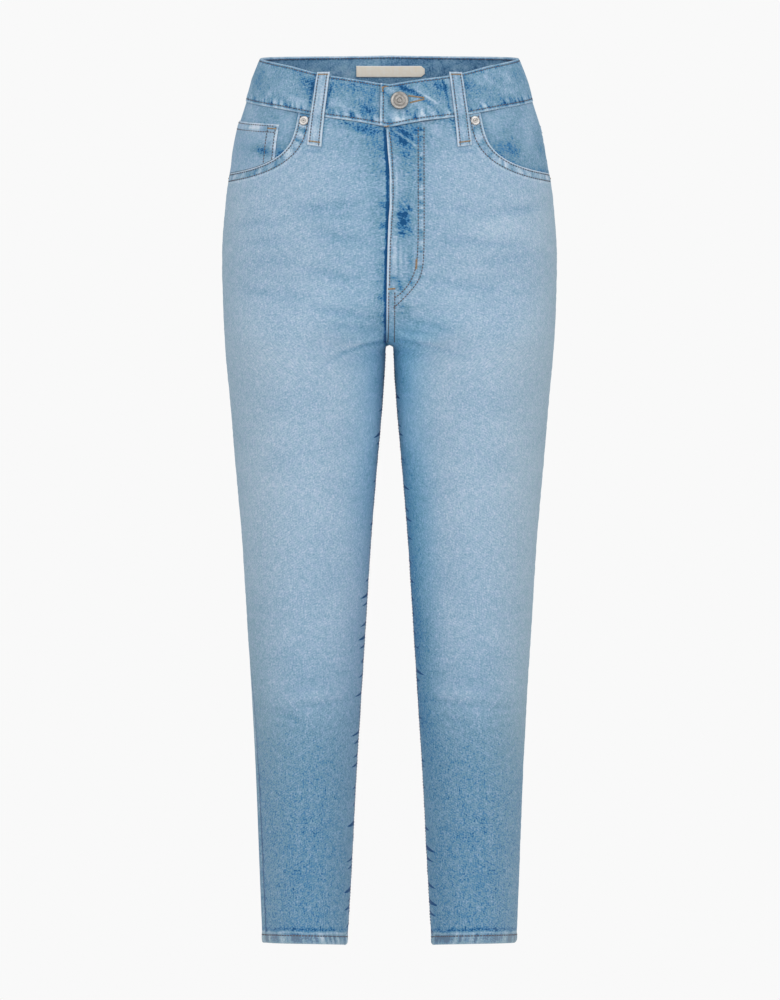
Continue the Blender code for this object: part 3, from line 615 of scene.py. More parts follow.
# %% [markdown]
# ## One way to make every sheet
# A sheet starts as a flat bmesh grid with one vertex for each row and column. The grid is then laid on the
# points of its piece, gets a UV map in metres that follows the cut, and a Solidify modifier gives the cloth
# its thickness inwards. The inner face gets the second material, because the back of denim is whiter. What
# wear and sewing did to the cloth, and the shade and sheen painted on it, is kept at each point, for the material to
# read.


# %% Helpers that make pieces of meshes
# Fade is how pale the cloth is, from wear and from painted shade, fine how far its small ropes stand, tint how
# grey it turns, as painted sheen at the side seams and as a greyer tone above the hems, and blue how much
# bluer it turns where marks darken it and on the inner legs. Pucker is the place along the inseam, counted in
# puckers, and beside is 1 at that seam.
WORN = ("fade", "fine", "grey_and_sheen", "blue", "pucker", "beside")


def new_mesh(name, bm):
    """Turns a bmesh into a mesh."""
    mesh = bpy.data.meshes.new(name)
    bm.to_mesh(mesh)
    bm.free()
    return mesh


def put(name, mesh, slot, *nodes):
    """Makes a mesh a piece of the jeans: it rides on their one body and stands for the solids it replaces."""
    piece = bpy.data.objects.new(name, mesh)
    scene.collection.objects.link(piece)
    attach(piece, "root")
    if nodes:
        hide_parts(*nodes)
    return piece


def mirrored(x):
    """Factors that bring the left half's points to the side that x lies on."""
    return np.stack((np.where(x < 0, -1, 1), np.ones(x.shape), np.ones(x.shape)), -1)


print("kept at each point:", WORN)


# %% One sheet of cloth
def sheet(name, points, out, cut, marks, thick, looks, nodes, slot):
    """Sheet over rows of points; cut holds each point's place on the flat cloth, both in millimetres."""
    facing = np.cross(points[:-1, 1:] - points[:-1, :-1], points[1:, :-1] - points[:-1, :-1])
    if (facing * out[:-1, :-1]).sum() < 0:
        points, cut = points[:, ::-1], cut[:, ::-1]
        marks = {key: value[:, ::-1] for key, value in marks.items()}
    rows, columns = points.shape[:2]
    bm = bmesh.new()
    bmesh.ops.create_grid(bm, x_segments=columns - 1, y_segments=rows - 1, size=0.5)
    mesh = new_mesh(name, bm)
    flat = np.empty(len(mesh.vertices) * 3)
    mesh.vertices.foreach_get("co", flat)
    flat = flat.reshape(-1, 3)
    column = np.rint((flat[:, 0] + 0.5) * (columns - 1)).astype(int)
    row = np.rint((flat[:, 1] + 0.5) * (rows - 1)).astype(int)
    mesh.vertices.foreach_set("co", (points[row, column] * MM).ravel())
    corner = np.empty(len(mesh.loops), int)
    mesh.loops.foreach_get("vertex_index", corner)
    places = mesh.uv_layers.new(name="cut")
    places.data.foreach_set("uv", (cut[row, column] * MM)[corner].ravel())
    for key in WORN:
        values = np.broadcast_to(marks.get(key, 0.0), (rows, columns))[row, column]
        mesh.attributes.new(key, "FLOAT", "POINT").data.foreach_set("value", values.astype(float))
    mesh.update()
    mesh.shade_smooth()
    for look in looks:
        mesh.materials.append(look)
    piece = put(name, mesh, slot, *nodes)
    solid = piece.modifiers.new("Thickness", "SOLIDIFY")
    solid.thickness, solid.offset = thick * MM, -1
    solid.material_offset = len(looks) - 1


# %% [markdown]
# ## Materials
# One small function adds a shader node with its settings and its links. Colours are hex values as on a colour
# card, and one function turns them to linear light.


# %% Node and colour helpers
def linear(code):
    """Linear light of a hex colour."""
    values = [int(code[i : i + 2], 16) / 255 for i in (1, 3, 5)]
    return (*(v / 12.92 if v <= 0.04045 else ((v + 0.055) / 1.055) ** 2.4 for v in values), 1.0)


def new_material(name):
    """A material with its node tree and its main shader."""
    look = bpy.data.materials.new(name)
    look.use_nodes = True
    return look, look.node_tree, look.node_tree.nodes["Principled BSDF"]


def add(tree, kind, sockets=None, stops=(), **settings):
    """Adds a node; sockets gives each input its value or the output that feeds it, and stops a ramp's colours."""
    node = tree.nodes.new(kind)
    for name, value in settings.items():
        setattr(node, name, value)
    for socket, value in (sockets or {}).items():
        if isinstance(value, bpy.types.NodeSocket):
            tree.links.new(value, node.inputs[socket])
        else:
            node.inputs[socket].default_value = value
    for at, _ in stops[2:]:  # a new ramp has two stops
        node.color_ramp.elements.new(at)
    for element, (at, code) in zip(node.color_ramp.elements if stops else (), stops):
        element.position, element.color = at, linear(code)
    return node


def total(tree, *terms):
    """Sum of outputs, each with its weight and the value it swings round."""
    last = 0.0
    for output, weight, middle in terms:
        shifted = add(tree, "ShaderNodeMath", {0: output, 1: middle}, operation="SUBTRACT").outputs[0]
        last = add(tree, "ShaderNodeMath", {0: shifted, 1: weight, 2: last}, operation="MULTIPLY_ADD").outputs[0]
    return last


print("white in linear light:", linear("#ffffff"))

# %% [markdown]
# ## Denim
# Denim is a three-and-one twill: indigo warp threads that run down the leg over a white weft. The dye sits only
# on the outside of the threads, so washing and rubbing leave a fine salt-and-pepper grain with short upright
# streaks. Each panel's own fade, painted shade included, and fine rise pick the place on a ramp from indigo to
# washed white, and grey is mixed in as painted sheen at the legs' outer sides and as a greyer tone on the hems.
#
# Threads lie about 0.5 mm apart and the twill's ribs 0.9 mm, which can't show at 1.1 mm a pixel. So the specks
# and the grain are drawn three to four times as coarse as the threads, and the streaks, the weft's slubs and
# the ribs about two and a half times. Mottling of 8 mm and clouds of 46 mm have their real size. Where the
# mottling is pale, the indigo leans to lilac, as it does after a stone wash.

# %% Denim, washed
# Sizes in millimetres across and along the warp: specks, streaks and slubs have two
SPECK, GRAIN, STREAK, SLUB, TWILL, MOTTLE, CLOUD = (1.25, 1.7), 2.0, (1.3, 9.0), (7.0, 1.9), 2.3, 8.0, 46.0
# Grey mixed in as painted sheen at the legs' outer sides and as a greyer tone on the hem bands, and factors that
# deepen the indigo or turn it to lilac
GREY_AND_SHEEN_COLOUR, BLUER, LILAC = linear("#a9b8b6"), (0.80, 1.20, 1.28, 1.0), (1.025, 0.982, 1.02, 1.0)
TWILL_TURN, GREY_AND_SHEEN_SHARE, PUCKER_DYE = math.radians(63), 0.34, -1.25
# A wave texture of scale 1 turns once in this length
WAVE_TURN = 20 / (2 * math.pi)


def denim(name, stops, base, rough=0.88):
    """Twill with dyed warp; stops are the ramp's places and colours, base the place where plain cloth lies."""
    look, tree, shader = new_material(name)
    cut = add(tree, "ShaderNodeUVMap", uv_map="cut").outputs[0]
    laid = {}
    for key, wide, long, turn in (
        ("speck", *SPECK, 0.0), ("grain", GRAIN, GRAIN, 0.0), ("streak", *STREAK, 0.0), ("slub", *SLUB, 0.0),
        ("twill", TWILL, TWILL, TWILL_TURN), ("mottle", MOTTLE, MOTTLE, 0.0), ("cloud", CLOUD, CLOUD, 0.0),
    ):
        scale = (1 / (wide * MM), 1 / (long * MM), 1)
        spread_out = {"Vector": cut, "Rotation": (0, 0, turn), "Scale": scale}
        laid[key] = add(tree, "ShaderNodeMapping", spread_out).outputs[0]
    noise = {
        key: add(tree, "ShaderNodeTexNoise", {"Vector": laid[key], "Scale": 1.0, "Detail": detail}).outputs["Fac"]
        for key, detail in (("grain", 2.0), ("streak", 1.0), ("slub", 1.0), ("mottle", 2.0), ("cloud", 3.0))
    }
    specks = add(tree, "ShaderNodeTexVoronoi", {"Vector": laid["speck"], "Scale": 1.0}).outputs["Color"]
    ribbed = {"Vector": laid["twill"], "Scale": 1 / WAVE_TURN, "Distortion": 0.6, "Detail": 1.0, "Detail Scale": 1.0}
    ribs = add(tree, "ShaderNodeTexWave", ribbed, bands_direction="X").outputs["Fac"]
    worn = {key: add(tree, "ShaderNodeAttribute", attribute_name=key).outputs["Fac"] for key in WORN}
    salt = total(
        tree, (specks, 0.20, 0.5), (noise["grain"], 0.56, 0.5), (noise["streak"], 0.20, 0.5),
        (noise["mottle"], 0.22, 0.5), (noise["slub"], 0.12, 0.5), (ribs, 0.05, 0.5),
    )
    # the grain is stronger where the cloth is darker, from 0.8 to 1.8 times
    stronger = add(tree, "ShaderNodeMath", {0: worn["fade"], 1: -1.5, 2: 1.0}, operation="MULTIPLY_ADD").outputs[0]
    for limit, operation in ((0.8, "MAXIMUM"), (1.8, "MINIMUM")):
        stronger = add(tree, "ShaderNodeMath", {0: stronger, 1: limit}, operation=operation).outputs[0]
    salt = add(tree, "ShaderNodeMath", {0: salt, 1: stronger}, operation="MULTIPLY").outputs[0]
    # hollows of the inseam's puckers, which keep their indigo and narrow to a point away from the seam
    counted = {"W": worn["pucker"], "Scale": 1.0, "Detail": 1.0}
    waves = add(tree, "ShaderNodeTexNoise", counted, noise_dimensions="1D").outputs["Fac"]
    narrowing = total(tree, (waves, 1.0, 0.0), (worn["beside"], 0.40, 1.0))
    hollows = add(tree, "ShaderNodeMapRange", {"Value": narrowing, "From Min": 0.45, "From Max": 0.57}).outputs[0]
    place = total(
        tree, (salt, 1.0, 0.0), (noise["cloud"], 0.16, 0.5), (worn["fade"], 1.0, -base), (worn["fine"], 0.30, 0.0),
        (hollows, PUCKER_DYE, 0.0),
    )
    dyed = add(tree, "ShaderNodeValToRGB", {"Fac": place}, stops).outputs[0]
    # grey mixed in as painted sheen at the legs' outer sides and as a greyer tone on the hem bands
    grey_and_sheen_mix = add(tree, "ShaderNodeMath", {0: worn["grey_and_sheen"], 1: GREY_AND_SHEEN_SHARE}, operation="MULTIPLY").outputs[0]
    lilac = add(tree, "ShaderNodeMapRange", {"Value": noise["mottle"], "From Min": 0.4, "From Max": 0.65}).outputs[0]
    for share, colour, way in ((grey_and_sheen_mix, GREY_AND_SHEEN_COLOUR, "MIX"), (worn["blue"], BLUER, "MULTIPLY"), (lilac, LILAC, "MULTIPLY")):
        mixed = {0: share, 6: dyed, 7: colour}
        dyed = add(tree, "ShaderNodeMix", mixed, data_type="RGBA", blend_type=way).outputs[2]
    tree.links.new(dyed, shader.inputs["Base Color"])
    height = total(
        tree, (ribs, 0.05, 0.5), (noise["grain"], 0.22, 0.5), (noise["streak"], 0.16, 0.5), (noise["slub"], 0.08, 0.5),
    )
    bump = add(tree, "ShaderNodeBump", {"Strength": 0.6, "Distance": 0.5 * MM, "Height": height})
    tree.links.new(bump.outputs[0], shader.inputs["Normal"])
    shader.inputs["Roughness"].default_value = rough
    shader.inputs["Specular IOR Level"].default_value = 0.16
    shader.inputs["Sheen Weight"].default_value = 0.06
    shader.inputs["Sheen Roughness"].default_value = 0.5
    return look


WASHED = (
    (0.0, "#164c7a"), (0.15, "#407ba8"), (0.35, "#698fa4"), (0.5, "#799db6"), (0.65, "#8daac1"), (0.8, "#a0bacd"),
    (1.0, "#c0d0dc"),
)
LESS_WASHED = ((0.0, "#355f86"), (0.25, "#5b87ac"), (0.5, "#7ea6c2"), (0.75, "#9dbdd2"), (1.0, "#c3d6e2"))
INSIDE = ((0.0, "#5f83a6"), (0.35, "#86a4c1"), (0.65, "#a6bdd2"), (1.0, "#d5dfe8"))
looks = {
    "denim": denim("stonewashed indigo twill", WASHED, 0.75),
    "mouth": denim("indigo twill half kept from the wash", WASHED, 0.55),
    "band inside": denim("indigo twill kept from the wash", LESS_WASHED, 0.57),
    "inside": denim("white weft face of the twill", INSIDE, 0.42),
}
cloth = (looks["denim"], looks["inside"])
print("denim materials:", [look.name for look in looks.values()])

# %% [markdown]
# ## Thread, pocketing, label and metal
# Topstitching is thick spun polyester, so it is matt with a slight twist. The tacks and the buttonhole are sewn
# in tan. Pocketing is plain cotton, the label a smooth woven tape that is left bare, and the button and rivets
# are nickel-plated brass, brushed by wear and darkened in their hollows and round their rims by grime and painted
# shade.


# %% Thread, cotton, tape and metal
THREAD_TWIST, METAL_WEAR = 1.3, 4.0


def thread(name, dark, light):
    """Spun thread, with paler flecks about as long as a turn of its twist painted in as its fibres' reflections."""
    look, tree, shader = new_material(name)
    place = add(tree, "ShaderNodeTexCoord").outputs["Object"]
    twisted = {"Vector": place, "Scale": 1 / (THREAD_TWIST * MM), "Detail": 2.0}
    fibres = add(tree, "ShaderNodeTexNoise", twisted).outputs["Fac"]
    ramp = add(tree, "ShaderNodeValToRGB", {"Fac": fibres}, ((0.3, dark), (0.7, light)))
    tree.links.new(ramp.outputs[0], shader.inputs["Base Color"])
    shader.inputs["Roughness"].default_value = 0.7
    return look


def plain_weave(name, dark, light, pitch, rough, sheen):
    """Warp and weft that cross one by one, drawn about three times as coarse so that they show."""
    look, tree, shader = new_material(name)
    cut = add(tree, "ShaderNodeUVMap", uv_map="cut").outputs[0]
    spread = add(tree, "ShaderNodeMapping", {"Vector": cut, "Scale": (1 / (pitch * MM),) * 3}).outputs[0]
    waved = {"Vector": spread, "Scale": 1 / WAVE_TURN, "Distortion": 0.4}
    warp, weft = (add(tree, "ShaderNodeTexWave", waved, bands_direction=way) for way in ("X", "Y"))
    slub = add(tree, "ShaderNodeTexNoise", {"Vector": spread, "Scale": 0.3, "Detail": 3.0}).outputs["Fac"]
    place = total(tree, (warp.outputs["Fac"], 0.25, 0.5), (weft.outputs["Fac"], 0.25, 0.5), (slub, 0.9, 0.0))
    ramp = add(tree, "ShaderNodeValToRGB", {"Fac": place}, ((0.2, dark), (0.75, light)))
    tree.links.new(ramp.outputs[0], shader.inputs["Base Color"])
    bump = add(tree, "ShaderNodeBump", {"Strength": 0.4, "Distance": 0.2 * MM, "Height": place})
    tree.links.new(bump.outputs[0], shader.inputs["Normal"])
    shader.inputs["Roughness"].default_value = rough
    shader.inputs["Sheen Weight"].default_value = sheen
    return look


def metal(name, dark, light, rough):
    """Metal that wear has brushed in patches, darkened in rings where its attribute says, by grime and painted shade.
    """
    look, tree, shader = new_material(name)
    place = add(tree, "ShaderNodeTexCoord").outputs["Object"]
    patchy = {"Vector": place, "Scale": 1 / (METAL_WEAR * MM), "Detail": 2.0}
    brushed = add(tree, "ShaderNodeTexNoise", patchy).outputs["Fac"]
    ramp = add(tree, "ShaderNodeValToRGB", {"Fac": brushed}, ((0.3, dark), (0.7, light)))
    grime_and_painted_shade = add(tree, "ShaderNodeAttribute", attribute_name="grime_and_painted_shade").outputs["Fac"]
    mixed = {0: grime_and_painted_shade, 6: ramp.outputs[0], 7: linear("#2e2b29")}
    grimed_and_shaded = add(tree, "ShaderNodeMix", mixed, data_type="RGBA").outputs[2]
    tree.links.new(grimed_and_shaded, shader.inputs["Base Color"])
    bump = add(tree, "ShaderNodeBump", {"Strength": 0.08, "Distance": 0.1 * MM, "Height": brushed})
    tree.links.new(bump.outputs[0], shader.inputs["Normal"])
    shader.inputs["Metallic"].default_value = 1.0
    shader.inputs["Roughness"].default_value = rough
    return look


looks["thread"] = thread("grey spun polyester thread", "#3c4556", "#776c6d")
looks["tan thread"] = thread("tan spun polyester thread", "#85694a", "#bb9f7c")
looks["pocketing"] = plain_weave("unbleached cotton pocketing", "#b9b2a2", "#dcd6c9", 1.4, 0.9, 0.1)
looks["label"] = plain_weave("cream satin label tape", "#fbefdb", "#fffaf0", 1.6, 0.55, 0.2)
looks["button"] = metal("worn nickel plate", "#96928d", "#bfbcb8", 0.48)
looks["rivet"] = metal("tumbled nickel plate", "#bcb8b4", "#e6e4e1", 0.48)
looks["zip"] = metal("brushed aluminium zip", "#8f8d88", "#c9c6c0", 0.45)
print("materials:", len(looks))

# %% [markdown]
# ## Cutting the four leg panels
# Columns of points stand closer at the edges, where the cloth turns into its seams, and follow the pocket
# mouth's curve along the top. Rows fan out round the crotch as they do on the solids. The colour's broad fade
# is set here too: pale on the thighs and hips, darker below the knees, on the inner legs and at the outer edge.

# %% Rows, columns and broad fade of the panels
# Heights of each row that fans out round the crotch, at the side seam and at the inner edge
FAN_ROWS = (
    (-190, -190), (-210, -208), (-228, -225), (-244, -239), (-259, -251), (-273, -262), (-287, -272), (-300, -280),
    (-312, -286), (-323, -290), (-334, -291.5), (-336, -292), (-345, -296), (-357, -307), (-371, -323), (-389, -346),
    (-410, -377), (-434, -412), (-461, -449), (-491, -487), (-524, -524),
)
MOUTH_COLUMNS, BACK_COLUMNS, FINE = 42, 84, 0.011
# Height, then how pale the front is at its middle, at the inner leg and at the side seam
BROAD = table(
    ("height", "middle", "inner", "side"),
    (
        (-20, -0.08, -0.20, -0.10), (-60, -0.07, -0.30, -0.10), (-100, -0.05, -0.22, -0.10),
        (-140, -0.04, -0.14, -0.11), (-200, -0.04, -0.14, -0.11), (-270, -0.02, -0.20, -0.13),
        (-340, 0.00, -0.34, -0.13), (-420, 0.00, -0.36, -0.12), (-520, -0.03, -0.38, -0.13),
        (-620, -0.10, -0.42, -0.18), (-680, -0.17, -0.44, -0.25), (-715, -0.30, -0.46, -0.34),
        (-780, -0.41, -0.50, -0.45), (-860, -0.43, -0.52, -0.48), (-949, -0.44, -0.52, -0.47),
    ),
)
# Height, then how blue and how pale the inner side of each leg is beyond that
INNER = table(
    ("height", "left_blue", "left_fade", "right_blue", "right_fade"),
    (
        (-60, 0.0, 0.0, 0.05, 0.0), (-250, 0.05, 0.0, 0.10, 0.0), (-300, 0.95, 0.10, 0.50, 0.16),
        (-380, 0.60, 0.10, 0.40, 0.18), (-430, 0.75, -0.10, 0.40, 0.12), (-520, 0.70, -0.13, 0.15, 0.18),
        (-600, 0.45, -0.18, 0.0, 0.20), (-700, 0.35, -0.02, 0.0, 0.16), (-780, 0.20, 0.09, 0.0, 0.18),
        (-880, 0.10, 0.10, 0.0, 0.16), (-949, 0.10, 0.10, 0.0, 0.16),
    ),
)


def spread(count):
    """Shares from 0 to 1, closer together at both ends."""
    ends = FINE * np.array((0, 0.2, 0.5))
    return np.concatenate((ends, np.linspace(FINE, 1 - FINE, count - 6), 1 - ends[::-1]))


def panel_columns(front, left):
    """Columns stand closest at the pocket mouth, at the fly and at the seams."""
    if not front:
        return spread(BACK_COLUMNS)
    shares, line = mouth_line(900)
    length = distances(line)
    even = spread(MOUTH_COLUMNS)
    mouth = (0.55 * np.interp(even * length[-1], length, shares) + 0.45 * even) * SCOOP_TURN
    start, count = (0.8, 48) if left else (0.94, 18)
    rest = np.linspace(SCOOP_TURN, start, 22 if left else 36)[1:-1]
    return np.concatenate((mouth, rest, np.linspace(start, 1 - FINE, count), 1 - FINE * np.array((0.7, 0.45, 0.2, 0))))


def broad_fade(z, share):
    """Fade of a whole leg, by the height and the share of the way from the side seam to the inner edge."""
    middle, inner, side = (smooth(BROAD["height"], BROAD[key], z) for key in ("middle", "inner", "side"))
    fade = middle + (inner - middle) * ease(0.62, 1.0, share) + (side - middle) * ease(0.34, 0.0, share)
    return fade + 0.02 * uneven(z + 120 * share, 31, 8) + 0.02 * uneven(z - 90 * share, 17, 9)


def leg_panel(name):
    """One leg panel, from its upper edge to the hem."""
    front, left = name.startswith("front"), name.endswith("left")
    turn = panel_columns(front, left)
    top = top_of(front, turn)
    shares = np.concatenate((np.array((0, 0.005, 0.012)), np.linspace(0.02, 1, 84 if front else 44)))[:, None]
    order = np.arange(len(FAN_ROWS))
    dense = np.linspace(0, order[-1], 124)[1:]
    outer, inner = (np.interp(dense, order, np.array(FAN_ROWS, float)[:, i])[:, None] for i in (0, 1))
    cuff = np.linspace(HEM + 22, HEM + 1.5, 22)
    leg = np.concatenate((np.linspace(-524, HEM + 23, 124)[1:], cuff, HEM + np.array((0.6, 0))))[:, None]
    z = np.concatenate((top + shares * (LEVEL_ROW - top), outer + (inner - outer) * turn**3, leg + 0 * turn))
    row_limit = ring(z[:, -1:], front)[4]
    start = twist(name, z)
    angle = start + turn * (row_limit - start)
    z = z + hem_lift(angle, front) * ease(-850, HEM + 24, z)
    points, out, fine, fade, blue = panel_skin(name, z, angle, top - z)
    limit, size = ring(z, front)[4], radius(z, front)
    share = angle / limit
    leg, inside = name.split("_")[1], ease(0.6, 0.92, share)
    fade = fade + broad_fade(z, np.clip(share, 0, 1)) + inside * smooth(INNER["height"], INNER[leg + "_fade"], z)
    blue = blue + inside * smooth(INNER["height"], INNER[leg + "_blue"], z)
    pucker, beside = inseam(z, np.maximum(limit - angle, 0) * size, front)
    # grey painted on as sheen over the outer half of each leg from the hips down, weaker on the right leg and below
    # the knee, and a greyer tone on the hem band
    grey_and_sheen = ease(0.5, 0.05, share) * ease(-60, -160, z) * (1.0 if left else 0.7) * (1 - 0.4 * ease(-700, -780, z))
    grey_and_sheen = grey_and_sheen + 0.85 * ease(HEM + 13, HEM + 10, z)
    across = (turn - 0.5) * size * np.minimum(limit, row_limit)
    # the left leg's puckers start 50 further on, so the two legs differ
    marks = {"fade": fade, "fine": fine, "grey_and_sheen": grey_and_sheen, "blue": blue, "pucker": pucker + 50 * left, "beside": beside}
    sheet(
        name + "_cloth", points, out, np.stack((across, z), -1), marks, WALL, cloth, [name], "denim",
    )


for name in ("front_left", "front_right", "back_left", "back_right"):
    leg_panel(name)

# %% [markdown]
# ## Waistband
# The waistband is one strip folded double and sewn over the top of the panels. At the front its left end laps
# over its right end, so the strip runs a little more than once round. Its stitch rows pull the cloth in, and
# the cloth between the stitches puckers.

# %% Waistband
# How far the strip stands out, and how much more where it laps; the angles where it ends above and below,
# and between which the lap comes down
BAND_PROUD, BAND_LAP, LAP_END, UNDER_END, LAP_FLAT, LAP_DOWN = 0.8, 3.0, -3.6, 371.0, 12.0, 24.0
# Stitch rows from the top, low and left edges, and millimetres to a degree and across the strip
TOP_ROW, LOW_ROW, END_ROW = 2.6, 3.4, 3.2
DEGREE, BAND_WIDE = 2.6, 47.0


def band_skin(degrees, share):
    """Waistband by the angle round it and the share of the way up it."""
    top, low = band_edge("top", degrees), band_edge("low", degrees)
    points, out = around(low + share * (top - low), degrees)
    below, above = (1 - share) * (top - low), share * (top - low)
    arc = degrees * DEGREE
    puckers = uneven(arc + 0.35 * above, 3.0, 31)
    streaks = uneven(arc + 0.7 * above, 7, 33) * uneven(above + 0.05 * arc, 6.0, 34)
    ropes = puckers * edge_wear(above - 5, 4.5) * 0.42
    ropes = ropes + uneven(arc, 5.2, 32) * edge_wear(below - 4, 4.5) * 0.25 + streaks * 0.30
    sunk = -0.32 * edge_wear(below - TOP_ROW, 0.9) - 0.38 * edge_wear(above - LOW_ROW, 0.9)
    end = (degrees - LAP_END) * DEGREE
    sunk = sunk - 0.30 * edge_wear(end - END_ROW, 0.9)
    for distance in (below, above, end):
        sunk = sunk - 0.9 * rolled(distance, 1.1)
    rise, fade = marked("waistband", points)
    ahead = points[..., 1] < 0
    rise, fade = rise * ahead, fade * ahead
    lap = BAND_PROUD + BAND_LAP * (1 - ease(LAP_FLAT, LAP_DOWN, degrees))
    fade = fade + 0.46 * edge_wear(above, 1.5) + 0.40 * edge_wear(below, 1.0) + 0.44 * edge_wear(end, 1.6)
    # darker lines at the stitch rows, painted shade in their grooves
    rows = edge_wear(above - LOW_ROW, 1.0) + edge_wear(below - TOP_ROW, 0.9)
    rows = rows + 0.6 * edge_wear(end - END_ROW - 0.2, 1.0)
    fade = fade - 0.26 * rows + 0.34 * puckers * edge_wear(above - 6.0, 3.5) + 0.18 * streaks
    # broad patches, a little paler at the front and paler again behind
    turned_by = 180 - np.abs(degrees - 180)
    fade = fade - 0.34 + 0.09 * uneven(arc, 26, 35) + 0.08 * uneven(above + 0.3 * arc, 9, 36)
    fade = fade + 0.05 * ease(60, 30, turned_by) + 0.14 * ease(70, 110, turned_by)
    return points + out * (lap + rise + ropes + sunk)[..., None], out, ropes + 0.12 * rise + 0.5 * sunk, fade


degrees = LAP_END + np.array((0, 0.15, 0.4))
for start, end, step in ((LAP_END + 0.7, 45, 0.28), (45, 100, 0.6), (100, 260, 2.0), (260, UNDER_END + 0.6, 0.6)):
    degrees = np.concatenate((degrees, np.arange(start, end, step)))
share = np.concatenate(
    ((0, 0.008, 0.02), np.linspace(0.035, 0.3, 14), np.linspace(0.32, 0.94, 24), (0.96, 0.98, 0.992, 1))
)
degrees, share = np.broadcast_arrays(degrees, share[:, None])
points, out, fine, fade = band_skin(degrees, share)
sheet(
    "waistband_cloth", points, out, np.stack((degrees * DEGREE, share * BAND_WIDE), -1),
    {"fade": fade, "fine": fine, "blue": np.full(fade.shape, 0.06)}, BAND_WALL,
    (looks["denim"], looks["band inside"]), ["waistband"], "denim",
)

# %% [markdown]
# ## Yokes, pocket facings and the coin pocket
# The yokes shape the back above the leg panels. At the front, the scooped pocket mouths show the hip pieces
# behind them, which have seen less wear and light and so are bluer. The coin pocket lies on the right one.
# One function lays them all, and each piece only says where its edges are, how high it stands and how it faded,
# with shade painted on the facings where they go under the panel's edge.


# %% Pieces above the panels and in the pocket mouths
def hip_skin(name, front, z, turn, level):
    """Cloth by its height, its turn from the side seam and its level over the plain form."""
    left = name.endswith("left")
    points, out = surface(z, turn * ring(z, front)[4], front)
    mirror = np.array((1.0 if left else -1.0, 1, 1))
    rise, fade = marked(name, points * mirror)
    return (points + out * (level + rise)[..., None]) * mirror, out * mirror, rise, fade


def hip_piece(name, front, turn, top, low, shares, level, fade, thick, look, slot):
    """Sheet between two edges; level gives its rise and its ropes, and fade its colour, at any turn and height."""
    z = top + np.asarray(shares, float)[:, None] * (low - top)
    turn = np.broadcast_to(turn, z.shape)
    height, fine = level(turn, z)
    points, out, rise, marks = hip_skin(name, front, z, turn, height)
    cut = np.stack((turn * (HIP_ARC if front else SEAT_ARC), z), -1)
    shade = {"fade": fade(turn, z) + marks, "fine": 1.4 * fine + 0.12 * rise}
    sheet(name + "_cloth", points, out, cut, shade, thick, look, [name], slot)


# Where the facing and the coin pocket end, and where the bag starts and ends, as shares of the quarter ring
FACING_END, COIN_END, BAG_START, BAG_END = 0.65, 0.485, 0.012, 0.717
# How far the facing goes on below the mouth, the share where its curve would close, and its bulge
FACING_BELOW, FACING_REACH, FACING_RISE = 16.0, 0.74, 1.1
fine_down = np.concatenate(((0, 0.012, 0.03), np.linspace(0.06, 0.94, 20), (0.97, 0.988, 1)))


def from_panel(turn, z):
    """How far a place in the pocket mouth is from the panel's edge."""
    return np.minimum(z - scoop(turn / SCOOP_TURN), (SCOOP_TURN - turn) * HIP_ARC)


def mouth_rise(turn, z):
    """Bulge of the hip in the middle of the pocket mouth."""
    return FACING_RISE * ease(4, 24, from_panel(turn, z))


def facing_level(turn, z):
    arc = turn * HIP_ARC
    ropes = 0.15 * uneven(z, 7, 51) * uneven(arc, 9, 52)
    return mouth_rise(turn, z) - WALL - LAYER + ropes - 0.8 * edge_wear(arc, 1.2), ropes


def facing_fade(turn, z):
    arc = turn * HIP_ARC
    patches = 0.10 * uneven(arc + 0.4 * z, 19, 53) + 0.10 * uneven(z, 11, 56) * uneven(arc, 14, 59)
    # painted shade where the facing goes under the panel's edge
    return patches - 0.26 * edge_wear(np.maximum(from_panel(turn, z), 0), 3.5)


turn = spread(54) * FACING_END
top = band_edge("low", 90 * (1 - turn))
low = top - (SCOOP_DEPTH + FACING_BELOW) * (1 - (turn / FACING_REACH) ** SCOOP_POWER) ** (1 / SCOOP_POWER)
mouth = (looks["mouth"], looks["inside"])
for side in ("left", "right"):
    hip_piece(
        "pocket_facing_" + side, True, turn, top, low, fine_down, facing_level, facing_fade, WALL, mouth,
        "pocket_mouth_denim",
    )

# %% Coin pocket
# Height of its top at the side seam and at its inner edge, and its two stitch rows from the top
COIN_TOP_SIDE, COIN_TOP_INNER, COIN_ROWS = -44.5, -52.5, (2.2, 9.0)


def coin_top(turn):
    """Height of the coin pocket's top edge."""
    return COIN_TOP_SIDE + (COIN_TOP_INNER - COIN_TOP_SIDE) * turn / COIN_END


def coin_level(turn, z):
    arc, hem, edge = turn * HIP_ARC, coin_top(turn) - z, (COIN_END - turn) * HIP_ARC
    ropes = 0.25 * uneven(arc, 4, 54) * edge_wear(hem - 5, 4) + 0.25 * uneven(z, 4, 55) * edge_wear(edge, 6)
    sunk = -0.8 * (rolled(hem, 1.0) + rolled(edge, 1.0)) - 0.4 * edge_wear(arc, 1.4)
    sunk = sunk - 0.3 * sum(edge_wear(hem - row, 0.8) for row in COIN_ROWS)
    return mouth_rise(turn, z) + ropes + sunk, ropes + 0.4 * sunk


def coin_fade(turn, z):
    arc, hem, edge = turn * HIP_ARC, coin_top(turn) - z, (COIN_END - turn) * HIP_ARC
    folds = 0.16 * uneven(arc, 4, 54) * edge_wear(hem - 5, 4) + 0.16 * uneven(z, 4, 55) * edge_wear(edge, 7)
    return 0.38 * edge_wear(hem, 1.6) + 0.42 * edge_wear(edge, 1.8) + folds + 0.07


turn = spread(44) * COIN_END
hip_piece(
    "coin_pocket", True, turn, coin_top(turn), scoop(turn / SCOOP_TURN) + 0.3, fine_down, coin_level, coin_fade,
    WALL, mouth, "pocket_mouth_denim",
)


